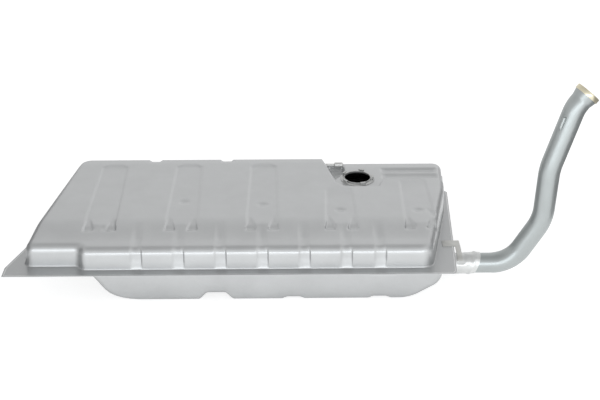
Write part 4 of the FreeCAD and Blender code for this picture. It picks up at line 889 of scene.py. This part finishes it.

# Pale floor: it catches the tank's shadow, and shows its own white to the camera and in the metal.
# In the metal it is darker from just before the tank backwards, up to the neck's foot on the right:
# painted shade under the tank, seen only in reflections.
FLOOR_WHITE = 0.70
SHADE_DARKNESS = 0.45
SHADE_FRONT = (-0.33, -0.225)
SHADE_SIDE = (0.47, 0.56)
bpy.ops.object.select_all(action="DESELECT")
bpy.ops.mesh.primitive_plane_add(size=40, location=(0, 0, -0.0005))
floor = bpy.context.object
floor.name = "floor"
pale = bpy.data.materials.new("pale_floor")
pale.use_nodes = True
nodes = pale.node_tree.nodes
links = pale.node_tree.links
nodes["Principled BSDF"].inputs["Base Color"].default_value = (0.55, 0.55, 0.55, 1)
nodes["Principled BSDF"].inputs["Roughness"].default_value = 0.9
nodes["Principled BSDF"].inputs["Specular IOR Level"].default_value = 0


def sum_of(tree, operation, first, second):
    """A node that joins two values, each an output of another node or a number."""
    node = tree.nodes.new("ShaderNodeMath")
    node.operation = operation
    for value, socket in zip((first, second), node.inputs):
        if isinstance(value, (int, float)):
            socket.default_value = value
        else:
            tree.links.new(value, socket)
    return node.outputs["Value"]


def ramp_of(tree, value, start, end, low, high):
    """A node that turns a value between two places into one between two levels."""
    node = tree.nodes.new("ShaderNodeMapRange")
    tree.links.new(value, node.inputs["Value"])
    for name, number in (("From Min", start), ("From Max", end), ("To Min", low), ("To Max", high)):
        node.inputs[name].default_value = number
    return node


tree = pale.node_tree
ray = nodes.new("ShaderNodeLightPath")
seen = sum_of(tree, "MAXIMUM", ray.outputs["Is Camera Ray"], ray.outputs["Is Glossy Ray"])
seen = sum_of(tree, "MAXIMUM", seen, ray.outputs["Is Transmission Ray"])
level = sum_of(tree, "MULTIPLY", seen, FLOOR_WHITE)
floor_place = nodes.new("ShaderNodeTexCoord")
floor_parts = nodes.new("ShaderNodeSeparateXYZ")
links.new(floor_place.outputs["Object"], floor_parts.inputs["Vector"])
shade = ramp_of(tree, floor_parts.outputs["Y"], *SHADE_FRONT, 0, SHADE_DARKNESS)
shade.interpolation_type = "SMOOTHSTEP"
beside = ramp_of(tree, floor_parts.outputs["X"], *SHADE_SIDE, 1, 0)
shaded = sum_of(tree, "MULTIPLY", shade.outputs["Result"], beside.outputs["Result"])
mirrored = sum_of(tree, "MULTIPLY", shaded, ray.outputs["Is Glossy Ray"])
unshaded = sum_of(tree, "SUBTRACT", 1, mirrored)
glow = nodes.new("ShaderNodeEmission")
links.new(sum_of(tree, "MULTIPLY", level, unshaded), glow.inputs["Strength"])
both = nodes.new("ShaderNodeAddShader")
links.new(nodes["Principled BSDF"].outputs["BSDF"], both.inputs[0])
links.new(glow.outputs["Emission"], both.inputs[1])
links.new(both.outputs["Shader"], nodes["Material Output"].inputs["Surface"])
floor.data.materials.append(pale)

# Studio: a soft sky that is lighter near the horizon and on the right, white to the camera, with one
# long lamp in front and a grey card at each side
SKY = [(0, 0.9443), (0.30, 0.9243), (0.47, 0.835), (0.70, 0.80), (0.87, 0.65), (0.96, 0.50), (1, 0.45)]
world = bpy.data.worlds.new("studio")
bpy.context.scene.world = world
world.use_nodes = True
tree = world.node_tree
nodes = tree.nodes
links = tree.links
sky_way = nodes.new("ShaderNodeTexCoord")
parts = nodes.new("ShaderNodeSeparateXYZ")
links.new(sky_way.outputs["Generated"], parts.inputs["Vector"])
height_light = nodes.new("ShaderNodeValToRGB")
for place, light in SKY[1:-1]:
    height_light.color_ramp.elements.new(place)
for stop, (place, light) in zip(height_light.color_ramp.elements, SKY):
    stop.color = (light, light, light, 1)
links.new(parts.outputs["Z"], height_light.inputs["Fac"])
side_light = ramp_of(tree, parts.outputs["X"], -0.6, 0.6, 0.86, 1.10)
sky_light = sum_of(tree, "MULTIPLY", height_light.outputs["Color"], side_light.outputs["Result"])
ray = nodes.new("ShaderNodeLightPath")
seen = nodes.new("ShaderNodeMix")
links.new(ray.outputs["Is Camera Ray"], seen.inputs["Factor"])
links.new(sky_light, seen.inputs["A"])
seen.inputs["B"].default_value = 1
links.new(seen.outputs["Result"], nodes["Background"].inputs["Strength"])
nodes["Background"].inputs["Color"].default_value = (1, 1, 1, 1)


def softbox(name, place, aim, width, height, power):
    """A rectangular soft lamp that faces a point."""
    bpy.ops.object.light_add(type="AREA", location=place)
    lamp = bpy.context.object
    lamp.name = name
    lamp.data.shape = "RECTANGLE"
    lamp.data.size = width
    lamp.data.size_y = height
    lamp.data.energy = power
    lamp.data.color = (0.92, 0.97, 1.0)
    lamp.visible_camera = False
    lamp.rotation_euler = (Vector(aim) - Vector(place)).to_track_quat("-Z", "Y").to_euler()


softbox("front_box", (0, -3.6, 1.12), (0, 0, 0.15), 6.0, 1.1, 45)


def studio_card(name, x, turn, grey):
    """A grey card beside the tank, seen only in its metal, where it draws the edges of the neck."""
    bpy.ops.object.select_all(action="DESELECT")
    bpy.ops.mesh.primitive_plane_add(size=1, location=(x, 0.35, 0.30), rotation=(0, turn, 0))
    card = bpy.context.object
    card.name = name
    card.scale = (0.6, 1.6, 1)
    paper = bpy.data.materials.new(name + "_paper")
    paper.use_nodes = True
    shader = paper.node_tree.nodes["Principled BSDF"]
    shader.inputs["Base Color"].default_value = (grey, grey, grey, 1)
    shader.inputs["Roughness"].default_value = 0.9
    card.data.materials.append(paper)
    card.visible_camera = False
    card.visible_diffuse = False
    card.visible_shadow = False


studio_card("right_card", 1.12, math.radians(-90), 0.50)
studio_card("left_card", -1.02, math.radians(90), 0.36)

# Camera at the photograph's viewing angle
bpy.ops.object.camera_add(location=(0.0615778, -2.793077, 1.6557128),
                          rotation=(math.radians(62), 0, math.radians(-0.81)))
camera = bpy.context.object
camera.data.lens = 69.84
camera.data.sensor_width = 36
camera.data.clip_end = 100
bpy.context.scene.camera = camera
bpy.context.scene.view_settings.view_transform = "Standard"
